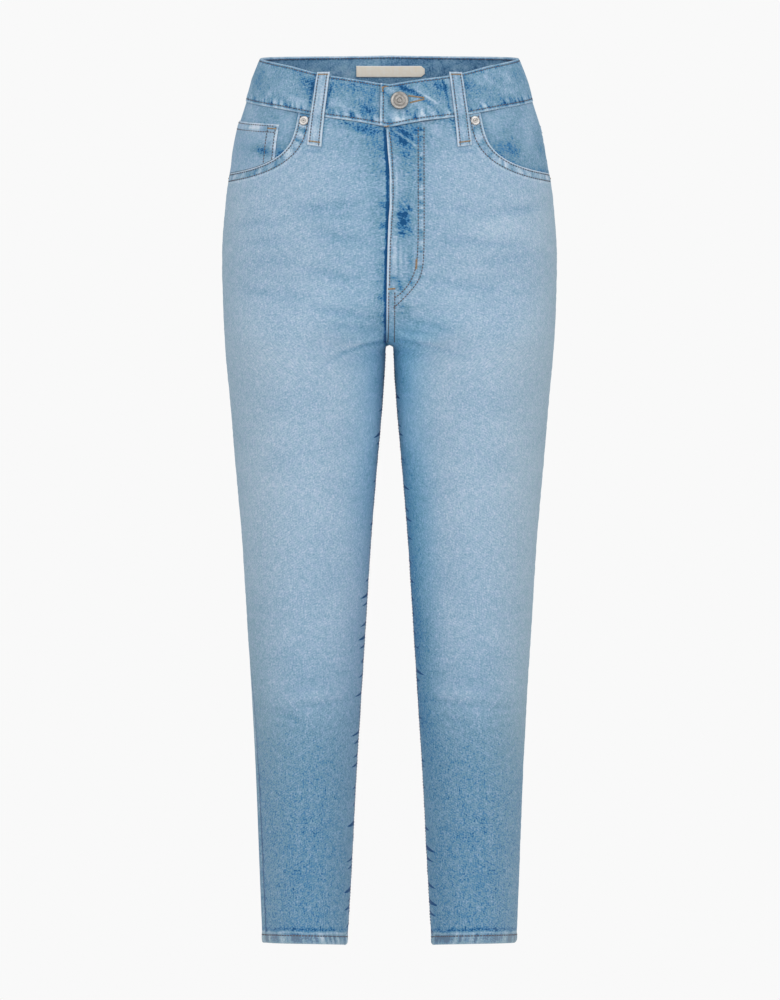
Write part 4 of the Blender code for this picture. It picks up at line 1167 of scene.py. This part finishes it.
# %% Back yokes
def yoke_level(turn, z):
    """It turns in at its seams and stands up where the panel is felled under it."""
    above = z - yoke_seam(turn)
    side, centre = turn * SEAT_ARC, (1 - turn) * SEAT_ARC
    sunk = -0.9 * (edge_wear(side, 1.2) + edge_wear(centre, 1.2)) - 0.7 * rolled(above, 0.9)
    ropes = uneven(side, 4.4, 41) * edge_wear(above, 6) * 0.35
    return sunk + 0.45 * ease(10, 8, above) + ropes, ropes


def yoke_fade(turn, z):
    return 0.22 * edge_wear(z - yoke_seam(turn), 2.0) - 0.02 + 0.05 * uneven(z + 90 * turn, 21, 57)


turn = spread(98)
top, low = band_edge("low", 90 * (1 + turn)), yoke_seam(turn)
for side in ("left", "right"):
    hip_piece(
        "yoke_" + side, False, turn, top, low, fine_down, yoke_level, yoke_fade, WALL, cloth, "denim",
    )

# %% [markdown]
# ## Pocket bags, back pockets and the fly's underside
# The bags and the shield behind the zip hardly show, so they are plain. The back pockets are patches with a
# pointed lower edge: their edges are folded under, so they are rounded and rub pale.

# %% Bags
# Height of the bag's lower edge, how far it rises to the fly, and its level under the facing
BAG_LOW, BAG_RISE, BAG_LEVEL = -232.0, 26.0, -2 * (WALL + LAYER) - 0.3


def bag_level(turn, z):
    return BAG_LEVEL + 0.25 * uneven(z + 60 * turn, 14, 58), np.zeros(z.shape)


def bag_fade(turn, z):
    return np.zeros(z.shape)


turn = BAG_START + spread(40) * (BAG_END - BAG_START)
top = band_edge("low", 90 * (1 - turn)) - 0.3
low = BAG_LOW + BAG_RISE * (turn / BAG_END) ** 3
for side in ("left", "right"):
    hip_piece(
        "pocket_bag_" + side, True, turn, top, low, np.linspace(0, 1, 50), bag_level, bag_fade, BAG_WALL,
        (looks["pocketing"],), "pocketing",
    )

# %% Back pockets
# Shares of the quarter ring at both sides, heights of the lower corners and of the point, and the level
PATCH_TURNS, PATCH_SIDE, PATCH_POINT, PATCH_LEVEL = (0.422, 0.91), -244.0, -261.0, 0.7 + WALL
# Width on the flat cloth, and the width that the puckers along the edges are counted over
PATCH_WIDE, PATCH_PUCKERED = 98.0, 110.0


def patch_edges(share, z):
    """Turn, top and low edge of a back pocket, and the distances from its top, its sides and its low edge."""
    turn = PATCH_TURNS[0] + share * (PATCH_TURNS[1] - PATCH_TURNS[0])
    top = yoke_seam(turn) + 0.34 * (LEVEL_ROW - yoke_seam(turn))
    low = PATCH_SIDE + (PATCH_POINT - PATCH_SIDE) * (1 - np.abs(2 * share - 1))
    wide = (PATCH_TURNS[1] - PATCH_TURNS[0]) * SEAT_ARC
    return turn, top, low, top - z, np.minimum(share, 1 - share) * wide, z - low


def patch_skin(name, share, z):
    """Back pocket by the share of the way across it and the height."""
    turn, _, _, hem, side, bottom = patch_edges(share, z)
    sewn = np.minimum(side, bottom)
    edge = np.minimum(hem, sewn)
    ropes = 0.30 * uneven(share * PATCH_PUCKERED + z, 4.2, 61) * edge_wear(sewn, 6)
    sunk = -1.0 * rolled(edge, 1.2) - 0.28 * edge_wear(sewn - 2.2, 0.9)
    level = PATCH_LEVEL + ropes + sunk + 0.25 * ease(16, 14, hem)
    points, out, rise, fade = hip_skin(name, False, z, turn, level)
    fade = fade + 0.26 * edge_wear(edge, 1.8) + 0.05 * uneven(z + 50 * share, 24, 62) + 0.03
    return points, out, ropes + 0.4 * sunk, fade


share, down = np.broadcast_arrays(spread(44), fine_down[:, None])
_, top, low, *_ = patch_edges(share, 0.0)
z = top + down * (low - top)
for side in ("left", "right"):
    name = "back_pocket_" + side
    points, out, fine, fade = patch_skin(name, share, z)
    sheet(
        name + "_cloth", points, out, np.stack((share * PATCH_WIDE, z), -1), {"fade": fade, "fine": fine}, WALL,
        cloth, [name], "denim",
    )


# %% Fly shield
def under_middle(x, z, front, depth):
    """Points at a depth under the cloth on both sides of the centre line, and their directions out."""
    points, out = surface(z, np.arccos(np.abs(x) / body("wide", z)), front)
    return (points - out * depth) * mirrored(x), out * mirrored(x)


SHIELD_DEPTH = 1.8
x, z = np.broadcast_arrays(np.linspace(-20, 27, 24), np.linspace(-60, -230, 70)[:, None])
points, out = under_middle(x, z, True, SHIELD_DEPTH)
sheet(
    "fly_shield_cloth", points, out, np.stack((x, z), -1), {}, WALL, mouth, ["fly_shield"], "pocket_mouth_denim",
)

# %% [markdown]
# ## Belt loops
# A belt loop is a strip folded in three, so it is thick, domed and pale along its two folds. Each is tacked at
# the waistband's top edge and again on the panel below it.

# %% Belt loops
# How far a loop goes on below the waistband, how far it stands over its top in front and stays under it
# behind, how far it bows out, and its width and length on the flat cloth
LOOP_BELOW, LOOP_ABOVE, LOOP_UNDER, LOOP_BOW, LOOP_WIDE, LOOP_LONG = 33.0, 0.8, 0.8, 1.0, 15.5, 82.0
# Angles of the two edges of a loop, and its stitch row and end tack from those edges
FRONT_LOOP, BACK_LOOP, CENTRE_LOOP = (25.47, 31.5), (122.04, 127.98), (177.03, 182.97)
LOOP_ROW, LOOP_TACK = 2.8, 3.5


def loop_skin(ends, across, share):
    """Belt loop by the share of the way across it and down it."""
    degrees = ends[0] + across * (ends[1] - ends[0])
    front = abs(ends[0]) < 90
    low = band_edge("low", degrees)
    top = band_edge("top", degrees) - LOOP_UNDER
    if front:
        # cut square, level with the waistband's edge at the loop's higher corner
        top = np.full(np.shape(degrees), float(band_edge("top", max(ends, key=abs))) + LOOP_ABOVE)
    z = top + share * (low - LOOP_BELOW - top)
    points, out = around(z, degrees)
    on_band = np.clip((top - z) / (top - low), 0, 1)
    bow = LOOP_BOW * 4 * on_band * (1 - on_band) * (z > low)
    level = LOOP_WALL + LAYER + BAND_PROUD * ease(low - 2.5, low - 0.5, z) + bow
    side = np.minimum(across, 1 - across) * LOOP_WIDE
    end = np.minimum(top - z, z - (low - LOOP_BELOW))
    edge = np.minimum(side, end)
    ropes = 0.12 * uneven(z, 4.0, 71) * edge_wear(side - 2.5, 2.5)
    sunk = -0.9 * rolled(edge, 1.1) - 0.25 * edge_wear(side - LOOP_ROW, 0.8) - 0.3 * edge_wear(end - LOOP_TACK, 1.4)
    streaks = 0.10 * uneven(across * LOOP_WIDE, 1.3, 73) * uneven(z, 14, 74) + 0.06 * uneven(z, 12, 72)
    # the darker lines at the stitch rows are painted shade in their grooves
    fade = 0.46 * edge_wear(edge, 1.4) - 0.22 * edge_wear(side - LOOP_ROW, 0.8) + 1.6 * streaks - 0.02
    return points + out * (level + ropes + sunk)[..., None], out, ropes + 0.5 * sunk, fade


LOOPS = {"belt_loop_centre": CENTRE_LOOP}
for side, sign in (("left", 1), ("right", -1)):
    LOOPS["belt_loop_front_" + side] = tuple(sorted(sign * a for a in FRONT_LOOP))
    LOOPS["belt_loop_back_" + side] = tuple(sorted(sign * a for a in BACK_LOOP))
across, share = np.broadcast_arrays(
    np.concatenate(((0, 0.02, 0.05), np.linspace(0.1, 0.9, 11), (0.95, 0.98, 1))),
    np.concatenate(((0, 0.004, 0.01), np.linspace(0.025, 0.975, 40), (0.99, 0.996, 1)))[:, None],
)
for name, ends in LOOPS.items():
    points, out, fine, fade = loop_skin(ends, across, share)
    fade = fade - 0.12 * (name == "belt_loop_front_left")  # this one has faded less
    cut = np.stack((across * LOOP_WIDE, share * LOOP_LONG), -1)
    sheet(
        name + "_cloth", points, out, cut, {"fade": fade, "fine": fine}, LOOP_WALL, cloth, [name], "denim",
    )

# %% [markdown]
# ## Label
# A plain cream tape is sewn inside the back of the waistband. It bulges a little between its stitches, and its
# end on the wearer's left has cut corners.

# %% Bare label
LABEL_ENDS, LABEL_HEIGHTS, LABEL_CORNER, LABEL_DEPTH = (-37.3, 39.5), (20.6, 8.4), 3.2, 2.1
x = np.linspace(*LABEL_ENDS, 60)
corner = LABEL_CORNER * ease(LABEL_ENDS[1] - 4.5, LABEL_ENDS[1], x)
top, low = LABEL_HEIGHTS[0] - corner, LABEL_HEIGHTS[1] + corner
z = top + np.linspace(0, 1, 16)[:, None] * (low - top)
x = np.broadcast_to(x, z.shape)
points, out = under_middle(x, z, False, (LABEL_DEPTH + 0.25 * np.abs(uneven(x, 16, 81)))[..., None])
sheet(
    "waist_label_cloth", points, out, np.stack((x, z), -1), {}, LABEL_WALL, (looks["label"],), ["waist_label"],
    "label_cream",
)

# %% [markdown]
# ## Button, rivets and zip
# The button is a turned cap with a raised rim, a sunk ring and a small nub, and each rivet is a smaller cap of
# the same kind. A profile spun with the spin operator makes both. The zip is hidden behind the closed lap, so
# its solid stays and only gets its metal.

# %% Turned metal pieces
# Place across and height, radius and thickness, and the level over the cloth's plain form
BUTTON_PLACE, BUTTON_RADIUS, BUTTON_THICK, BUTTON_LEVEL = (10.7, -29.0), 9.8, 3.4, BAND_PROUD + BAND_LAP + 0.3
RIVET_PLACE, RIVET_RADIUS, RIVET_THICK, RIVET_LEVEL = (93.2, -49.0), 5.3, 1.7, 0.3
# Each profile runs from the middle over the rim: share of the radius, and depth under the top
BUTTON_PROFILE = (
    (0.0, -0.35), (0.13, -0.40), (0.20, -0.62), (0.26, -0.98), (0.33, -0.90), (0.40, -0.55), (0.46, -0.50),
    (0.52, -0.62), (0.57, -0.95), (0.66, -1.0), (0.76, -0.85), (0.86, -0.30), (0.92, -0.18), (0.97, -0.38),
    (1.0, -0.90), (0.97, -1.4), (0.88, -1.65), (0.5, -1.8), (0.46, -3.4), (0.0, -3.4),
)
RIVET_PROFILE = (
    (0.0, -0.55), (0.16, -0.60), (0.24, -0.95), (0.34, -1.05), (0.44, -0.80), (0.56, -0.28), (0.70, -0.20),
    (0.84, -0.42), (0.95, -0.85), (1.0, -1.25), (0.97, -1.6), (0.80, -1.7), (0.0, -1.7),
)

# Radius share, width and depth of each dark ring of grime and painted shade, in the hollows and at the rim
BUTTON_GRIME_AND_SHADE = ((0.27, 0.06, 0.8), (0.60, 0.07, 0.5), (1.0, 0.04, 0.85))
RIVET_GRIME_AND_SHADE = ((0.0, 0.15, 0.95), (0.42, 0.07, 0.5), (1.0, 0.06, 0.5))


def turned(name, profile, hollows, size, thick, place, level, look):
    """Spins a profile of radius shares and depths under the top, and stands it on the cloth."""
    x, z = place
    points, out = surface(np.array(float(z)), np.array(math.acos(abs(x) / float(body("wide", z)))), True)
    mirror = (-1 if x < 0 else 1, 1, 1)
    out = Vector(out * mirror)
    bm = bmesh.new()
    line = [bm.verts.new((share * size * MM, 0, (thick + depth) * MM)) for share, depth in profile]
    edges = [bm.edges.new(pair) for pair in zip(line, line[1:])]
    bmesh.ops.spin(bm, geom=line + edges, axis=(0, 0, 1), cent=(0, 0, 0), angle=2 * math.pi, steps=48, use_merge=True)
    bmesh.ops.remove_doubles(bm, verts=bm.verts, dist=1e-6)
    bmesh.ops.recalc_face_normals(bm, faces=bm.faces)
    reach = np.array([vert.co.xy.length for vert in bm.verts]) / (size * MM)
    # dark rings of grime and painted shade, by the distance from the middle
    grime_and_shade = sum(share * edge_wear(reach - ring_at, wide) for ring_at, wide, share in hollows)
    foot = Matrix.Translation((Vector(points * mirror) + out * level) * MM)
    bmesh.ops.transform(bm, matrix=foot @ out.to_track_quat("Z", "Y").to_matrix().to_4x4(), verts=bm.verts)
    mesh = new_mesh(name, bm)
    mesh.attributes.new("grime_and_painted_shade", "FLOAT", "POINT").data.foreach_set("value", grime_and_shade)
    mesh.shade_smooth()
    mesh.materials.append(look)
    piece = put(name + "_metal", mesh, "silver_metal", name)
    print(f"{piece.name}: {len(mesh.polygons)} faces")


turned(
    "button", BUTTON_PROFILE, BUTTON_GRIME_AND_SHADE, BUTTON_RADIUS, BUTTON_THICK, BUTTON_PLACE, BUTTON_LEVEL, looks["button"],
)
for side, sign in (("left", 1), ("right", -1)):
    place = (sign * RIVET_PLACE[0], RIVET_PLACE[1])
    turned(
        "rivet_" + side, RIVET_PROFILE, RIVET_GRIME_AND_SHADE, RIVET_RADIUS, RIVET_THICK, place, RIVET_LEVEL, looks["rivet"],
    )
zip_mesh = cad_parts["zip"].data
zip_mesh.materials.clear()
zip_mesh.materials.append(looks["zip"])

# %% [markdown]
# ## Topstitching
# Thousands of stitches would be heavy as curves. Each is a small low-faced ball, stretched along the seam and
# half sunk in the cloth, and a whole run is joined in one mesh. The cloth's own functions say where a run lies,
# so the thread follows every pucker.

# %% Sewing helpers
# Distance from one stitch to the next, and a stitch's length, width and height; then the same for a tack's
# thread, whose length is the tack's own width; and how far the middle of either lies above the cloth
STITCH_PITCH, STITCH_LONG, STITCH_WIDE, STITCH_TALL = 3.4, 3.1, 1.5, 0.8
TACK_PITCH, TACK_WIDE, TACK_TALL = 0.8, 0.9, 0.9
THREAD_RISE = 0.12


def stitches(points, out, pitch):
    """Places, directions and normals at even steps along a run of points."""
    reach = distances(points)
    steps = np.arange(pitch / 2, reach[-1], pitch)
    ahead = at_steps(reach, points, steps + 0.5) - at_steps(reach, points, steps - 0.5)
    return zip(at_steps(reach, points, steps), ahead, at_steps(reach, out, steps))


def sew(bm, points, out, crosswise=0.0):
    """Adds a run of stitches, or with a crosswise length a dense tack or buttonhole edge."""
    pitch = TACK_PITCH if crosswise else STITCH_PITCH
    size = (TACK_WIDE, crosswise, TACK_TALL) if crosswise else (STITCH_LONG, STITCH_WIDE, STITCH_TALL)
    for place, ahead, normal in stitches(np.asarray(points), np.asarray(out), pitch):
        ahead, normal = Vector(ahead).normalized(), Vector(normal).normalized()
        side = normal.cross(ahead).normalized()
        turn = Matrix((ahead, side, side.cross(ahead) * -1)).transposed().to_4x4()
        scale = Matrix.Diagonal((*(v / 2 * MM for v in size), 1))
        spot = Matrix.Translation((Vector(place) + normal * THREAD_RISE) * MM)
        bmesh.ops.create_icosphere(bm, subdivisions=1, radius=1, matrix=spot @ turn @ scale)


def finish_thread(name, bm, look):
    """Joins all the runs so far in one piece."""
    bmesh.ops.recalc_face_normals(bm, faces=bm.faces)
    mesh = new_mesh(name, bm)
    mesh.shade_smooth()
    mesh.materials.append(look)
    put(name, mesh, "denim")
    print(f"{name}: {len(mesh.polygons)} faces")


def dense(places, step=1.0):
    """Even steps along a line through a few places."""
    places = np.array(places, float)
    reach = distances(places)
    return at_steps(reach, places, np.linspace(0, reach[-1], max(int(reach[-1] / step), 2)))


def round_off(places, times=2):
    """Cuts the corners of a line, which rounds its bends."""
    places = np.array(places, float)
    for _ in range(times):
        near, far = places[:-1] * 0.75 + places[1:] * 0.25, places[:-1] * 0.25 + places[1:] * 0.75
        places = np.concatenate((places[:1], np.stack((near, far), 1).reshape(-1, 2)[1:-1], places[-1:]))
    return places


def panel_run(places, step=1.0):
    """Line on the left front panel through places in the front view, also where its edge laps over the middle."""
    right, down = dense(round_off(places), step).T
    aim = right.copy()
    for _ in range(4):
        z, angle, _ = behind_view(np.maximum(aim, VIEW_RIGHT + 0.1), down)
        points, out, *_ = panel_skin("front_left", z, angle)
        aim += right - in_view(points)[0]
    return points, out


print("stitches to a metre of seam:", round(1 / (STITCH_PITCH * MM)))

# %% [markdown]
# ## Stitch rows on the body
# The pocket mouths, the fly, the crotch seam, the hems, the yoke and centre back seams and the back pockets are
# all sewn with the same grey thread, mostly in pairs of rows about 7 mm apart.

# %% Stitches of the fly, the pocket mouths and the hems
bm = bmesh.new()
# Distances of the two rows from the pocket mouth's edge, from a seam and from a back pocket's edge and top
MOUTH_ROWS, SEAM_ROWS, PATCH_ROWS, PATCH_HEM_ROWS = (2.2, 9.2), (2.4, 8.8), (2.2, 8.6), (4.0, 13.0)
# Places in the front view: the fly's curve in two rows, its lap, and the two rows down to the crotch
FLY_ROWS = (
    ((418.2, 127), (418.2, 180), (418.3, 240), (417, 262), (413.5, 276), (407, 287), (399, 295), (393, 299)),
    (
        (424, 127), (424, 180), (424.2, 245), (423, 266), (420, 278), (414.5, 286.5), (408, 294), (400, 302),
        (394, 307.5),
    ),
    ((389.2, 132), (391.8, 150), (393.2, 180), (393, 205), (391.6, 225), (390.2, 250), (389.6, 286)),
    ((388.9, 292), (388.6, 315), (388.2, 342.5)),
    ((394.8, 292), (394.7, 315), (394.3, 342.5)),
)
for row in FLY_ROWS:
    sew(bm, *panel_run(row))

shares = np.sin(np.linspace(0.02, math.pi / 2, 500)) ** (2 / SCOOP_POWER)
edge = np.stack((shares * SCOOP_TURN * HIP_ARC, scoop(shares)), -1)
run = np.stack((np.gradient(edge[:, 0]), np.gradient(edge[:, 1])), -1)
run /= np.linalg.norm(run, axis=-1, keepdims=True)
for name in ("front_left", "front_right"):
    for offset in MOUTH_ROWS:
        across, z = edge[:, 0] + run[:, 1] * offset, edge[:, 1] - run[:, 0] * offset
        keep = (z < band_edge("low", 90 * (1 - across / HIP_ARC)) - 1) & (across > 1)
        z, across = z[keep], across[keep]
        angle = across / HIP_ARC * ring(z, True)[4]
        sew(bm, *panel_skin(name, z, angle, np.full(len(z), offset))[:2])

for name in ("front_left", "front_right", "back_left", "back_right"):
    front = name.startswith("front")
    row = HEM + HEM_STITCH
    angle = np.linspace(float(twist(name, row)), float(ring(row, front)[4]), 200)
    sew(bm, *panel_skin(name, row + hem_lift(angle, front), angle)[:2])
print("thread so far:", len(bm.faces), "faces")


# %% Stitches of the yokes, the back pockets and the back seams
def back_seam_run(name, offset, top, low, count):
    """Stitches beside a back panel's inner edge, between two heights."""
    z = np.linspace(top, low, count)
    sew(bm, *panel_skin(name, z, ring(z, False)[4] - offset / radius(z, False))[:2])


for side in ("left", "right"):
    for offset in SEAM_ROWS:
        turn = np.linspace(0.01, 0.99, 300)
        z = yoke_seam(turn) + offset
        sew(bm, *hip_skin("yoke_" + side, False, z, turn, yoke_level(turn, z)[0])[:2])
    name = "back_pocket_" + side
    for offset in PATCH_ROWS:
        share = offset / PATCH_WIDE
        _, top, low, *_ = patch_edges(share, 0.0)
        z = np.linspace(float(top) - 1, float(low) + offset, 200)
        for across in (share, 1 - share):
            sew(bm, *patch_skin(name, np.full(200, across), z)[:2])
        across = np.linspace(share, 1 - share, 200)
        sew(bm, *patch_skin(name, across, patch_edges(across, 0.0)[2] + offset)[:2])
    for offset in PATCH_HEM_ROWS:
        across = np.linspace(0.02, 0.98, 200)
        sew(bm, *patch_skin(name, across, patch_edges(across, 0.0)[1] - offset)[:2])
for offset in SEAM_ROWS:
    back_seam_run("back_left", offset, -95, -288, 260)
    for side in ("left", "right"):
        back_seam_run("back_" + side, offset, -300, -930, 400)
finish_thread("body_topstitching", bm, looks["thread"])

# %% [markdown]
# ## Stitch rows on the trims
# The waistband is edge-stitched all round, each belt loop has two rows, and the coin pocket has a double row
# at its hem and down its inner edge.

# %% Trim topstitching
bm = bmesh.new()
degrees = np.linspace(LAP_END + 1.2, 360 + LAP_END, 900)
tall = band_edge("top", degrees) - band_edge("low", degrees)
for share in (1 - TOP_ROW / tall, LOW_ROW / tall):
    sew(bm, *band_skin(degrees, share)[:2])
share = np.linspace(0.07, 0.94, 60)
sew(bm, *band_skin(np.full(60, LAP_END + END_ROW / DEGREE), share)[:2])
# the upper row also shows on the inside of the back
degrees = np.linspace(60, 300, 500)
tall = band_edge("top", degrees) - band_edge("low", degrees)
points, out, *_ = band_skin(degrees, 1 - TOP_ROW / tall)
sew(bm, points - BAND_WALL * out, -out)
share = np.linspace(0.02, 0.98, 120)
for ends in LOOPS.values():
    for across in (0.185, 0.815):
        sew(bm, *loop_skin(ends, np.full(120, across), share)[:2])
turn = np.linspace(0.02, COIN_END - 0.02, 160)
for offset in COIN_ROWS:
    z = coin_top(turn) - offset
    sew(bm, *hip_skin("coin_pocket", True, z, turn, coin_level(turn, z)[0])[:2])
for offset in (2.4, 10.5):
    turn = np.full(100, COIN_END - offset / HIP_ARC)
    z = np.linspace(COIN_TOP_INNER - 2, float(scoop(turn[0] / SCOOP_TURN)) + 1, 100)
    sew(bm, *hip_skin("coin_pocket", True, z, turn, coin_level(turn, z)[0])[:2])
finish_thread("trim_topstitching", bm, looks["thread"])

# %% [markdown]
# ## Tacks and the buttonhole
# Where a seam takes strain it is locked with a dense zigzag in tan thread. The buttonhole is edged the same
# way: it shows where the button has pulled it along, out from under the cap.

# %% Tan thread
bm = bmesh.new()
# Ends in the front view and width of each tack on the fly, and of each tack and buttonhole edge on the waistband
FLY_TACKS = ((((416.6, 259), (416.1, 269.5)), 3.0), (((388.0, 289), (395.5, 288.6)), 2.4))
BAND_TACKS = (
    (((381.6, 88.5), (387.5, 87.0)), 1.6), (((382.5, 92.5), (383.2, 86.5)), 1.6),
    (((384.5, 127.2), (389.5, 126.6)), 1.6), (((408.0, 96.6), (423.0, 98.4)), 2.3),
    (((409.5, 103.6), (423.0, 100.2)), 2.3), (((423.3, 97.4), (423.5, 101.0)), 1.5),
)
for ends in LOOPS.values():
    for share in (0.035, 0.945):
        across = np.linspace(0.10, 0.90, 40)
        sew(bm, *loop_skin(ends, across, np.full(40, share))[:2], crosswise=1.9)
for places, wide in FLY_TACKS:
    sew(bm, *panel_run(places, 0.5), crosswise=wide)
for name in ("front_left", "front_right"):
    z = np.full(40, float(scoop(0.0)) - 5.5)
    angle = np.linspace(1.0, 6.5, 40) / radius(z, True)
    sew(bm, *panel_skin(name, z, angle)[:2], crosswise=2.0)
turn = COIN_END - np.linspace(1.5, 10.5, 40) / HIP_ARC
z = coin_top(turn) - 5.0
sew(bm, *hip_skin("coin_pocket", True, z, turn, coin_level(turn, z)[0])[:2], crosswise=1.8)


def band_run(places):
    """Line on the waistband's front through places in the front view."""
    right, down = dense(places, 0.4).T
    z, angle, left = behind_view(right, down)
    degrees = np.where(left, 90 - np.degrees(angle), np.degrees(angle) - 90)
    top, low = band_edge("top", degrees), band_edge("low", degrees)
    return band_skin(degrees, (z - low) / (top - low))[:2]


for places, wide in BAND_TACKS:
    sew(bm, *band_run(places), crosswise=wide)
finish_thread("tacks_and_buttonhole", bm, looks["tan thread"])

# %% [markdown]
# ## Studio
# The jeans hang in a plain white studio: an even white surround, one large soft light on each side of the
# camera, a smaller one overhead, and a pale floor whose edge fades into the surround. The camera stands 7 m in
# front and looks straight ahead, with the lens that makes the picture's step 1.1 mm at the origin.

# %% Surround
scene.view_settings.view_transform = "Standard"
world = bpy.data.worlds.new("white studio")
scene.world = world
world.use_nodes = True
sky = world.node_tree
backdrop = sky.nodes["Background"]
backdrop.inputs["Color"].default_value = linear("#f9f9f9")
soft = add(sky, "ShaderNodeBackground", {"Color": (1, 1, 1, 1), "Strength": 0.66})
seen = add(sky, "ShaderNodeLightPath").outputs["Is Camera Ray"]
both = add(sky, "ShaderNodeMixShader", {0: seen, 1: soft.outputs[0], 2: backdrop.outputs[0]})
sky.links.new(both.outputs[0], sky.nodes["World Output"].inputs["Surface"])
print("surround:", world.name)

# %% Floor
FLOOR, FLOOR_RADIUS, FADE_FROM, FADE_TO = -1.12, 1.6, 1.15, 1.75
bm = bmesh.new()
bmesh.ops.create_circle(bm, cap_ends=True, segments=96, radius=FLOOR_RADIUS)
bmesh.ops.translate(bm, verts=bm.verts, vec=(0, 0, FLOOR))
floor_mesh = new_mesh("floor", bm)
floor = bpy.data.objects.new("floor", floor_mesh)
scene.collection.objects.link(floor)
pale, tree, shader = new_material("pale painted studio floor")
shader.inputs["Roughness"].default_value = 0.9
place = add(tree, "ShaderNodeTexCoord").outputs["Object"]
far = add(tree, "ShaderNodeVectorMath", {0: place}, operation="LENGTH").outputs["Value"]
reach = {"Value": far, "From Min": FADE_FROM, "From Max": FADE_TO}
fading = add(tree, "ShaderNodeMapRange", reach, interpolation_type="SMOOTHSTEP")
specks = add(tree, "ShaderNodeTexNoise", {"Vector": place, "Scale": 900.0, "Detail": 2.0}).outputs["Fac"]
ramp = add(tree, "ShaderNodeValToRGB", {"Fac": specks}, ((0.0, "#f4f4f4"), (1.0, "#fbfbfb")))
tree.links.new(ramp.outputs[0], shader.inputs["Base Color"])
clear = add(tree, "ShaderNodeBsdfTransparent")
joined = add(tree, "ShaderNodeMixShader", {0: fading.outputs[0], 1: shader.outputs[0], 2: clear.outputs[0]})
tree.links.new(joined.outputs[0], tree.nodes["Material Output"].inputs["Surface"])
floor_mesh.materials.append(pale)
print("floor:", FLOOR, "m")

# %% Lights and camera
AIM, SENSOR, PICTURE_TALL = (0, 0, -0.45), 36, 1000
for name, place, size, power in (
    ("left softbox", (-2.6, -2.8, 0.3), 2.2, 34.0),
    ("right softbox", (2.6, -2.8, 0.3), 2.2, 37.0),
    ("overhead softbox", (0.25, -0.9, 2.4), 1.8, 16.0),
):
    light = bpy.data.lights.new(name, "AREA")
    light.shape, light.size, light.energy = "SQUARE", size, power
    lamp = bpy.data.objects.new(name, light)
    lamp.location = place
    lamp.rotation_euler = (Vector(AIM) - Vector(place)).to_track_quat("-Z", "Y").to_euler()
    scene.collection.objects.link(lamp)

camera_data = bpy.data.cameras.new("camera")
camera_data.sensor_width = SENSOR
camera_data.lens = SENSOR * VIEW_FAR / (PICTURE_TALL * VIEW_STEP)
camera = bpy.data.objects.new("camera", camera_data)
camera.location = (0.5 * VIEW_STEP * MM, -VIEW_FAR * MM, VIEW_HEIGHT * MM)
camera.rotation_euler = (math.pi / 2, 0, 0)
scene.collection.objects.link(camera)
scene.camera = camera
print("lens:", round(camera_data.lens, 1), "mm")
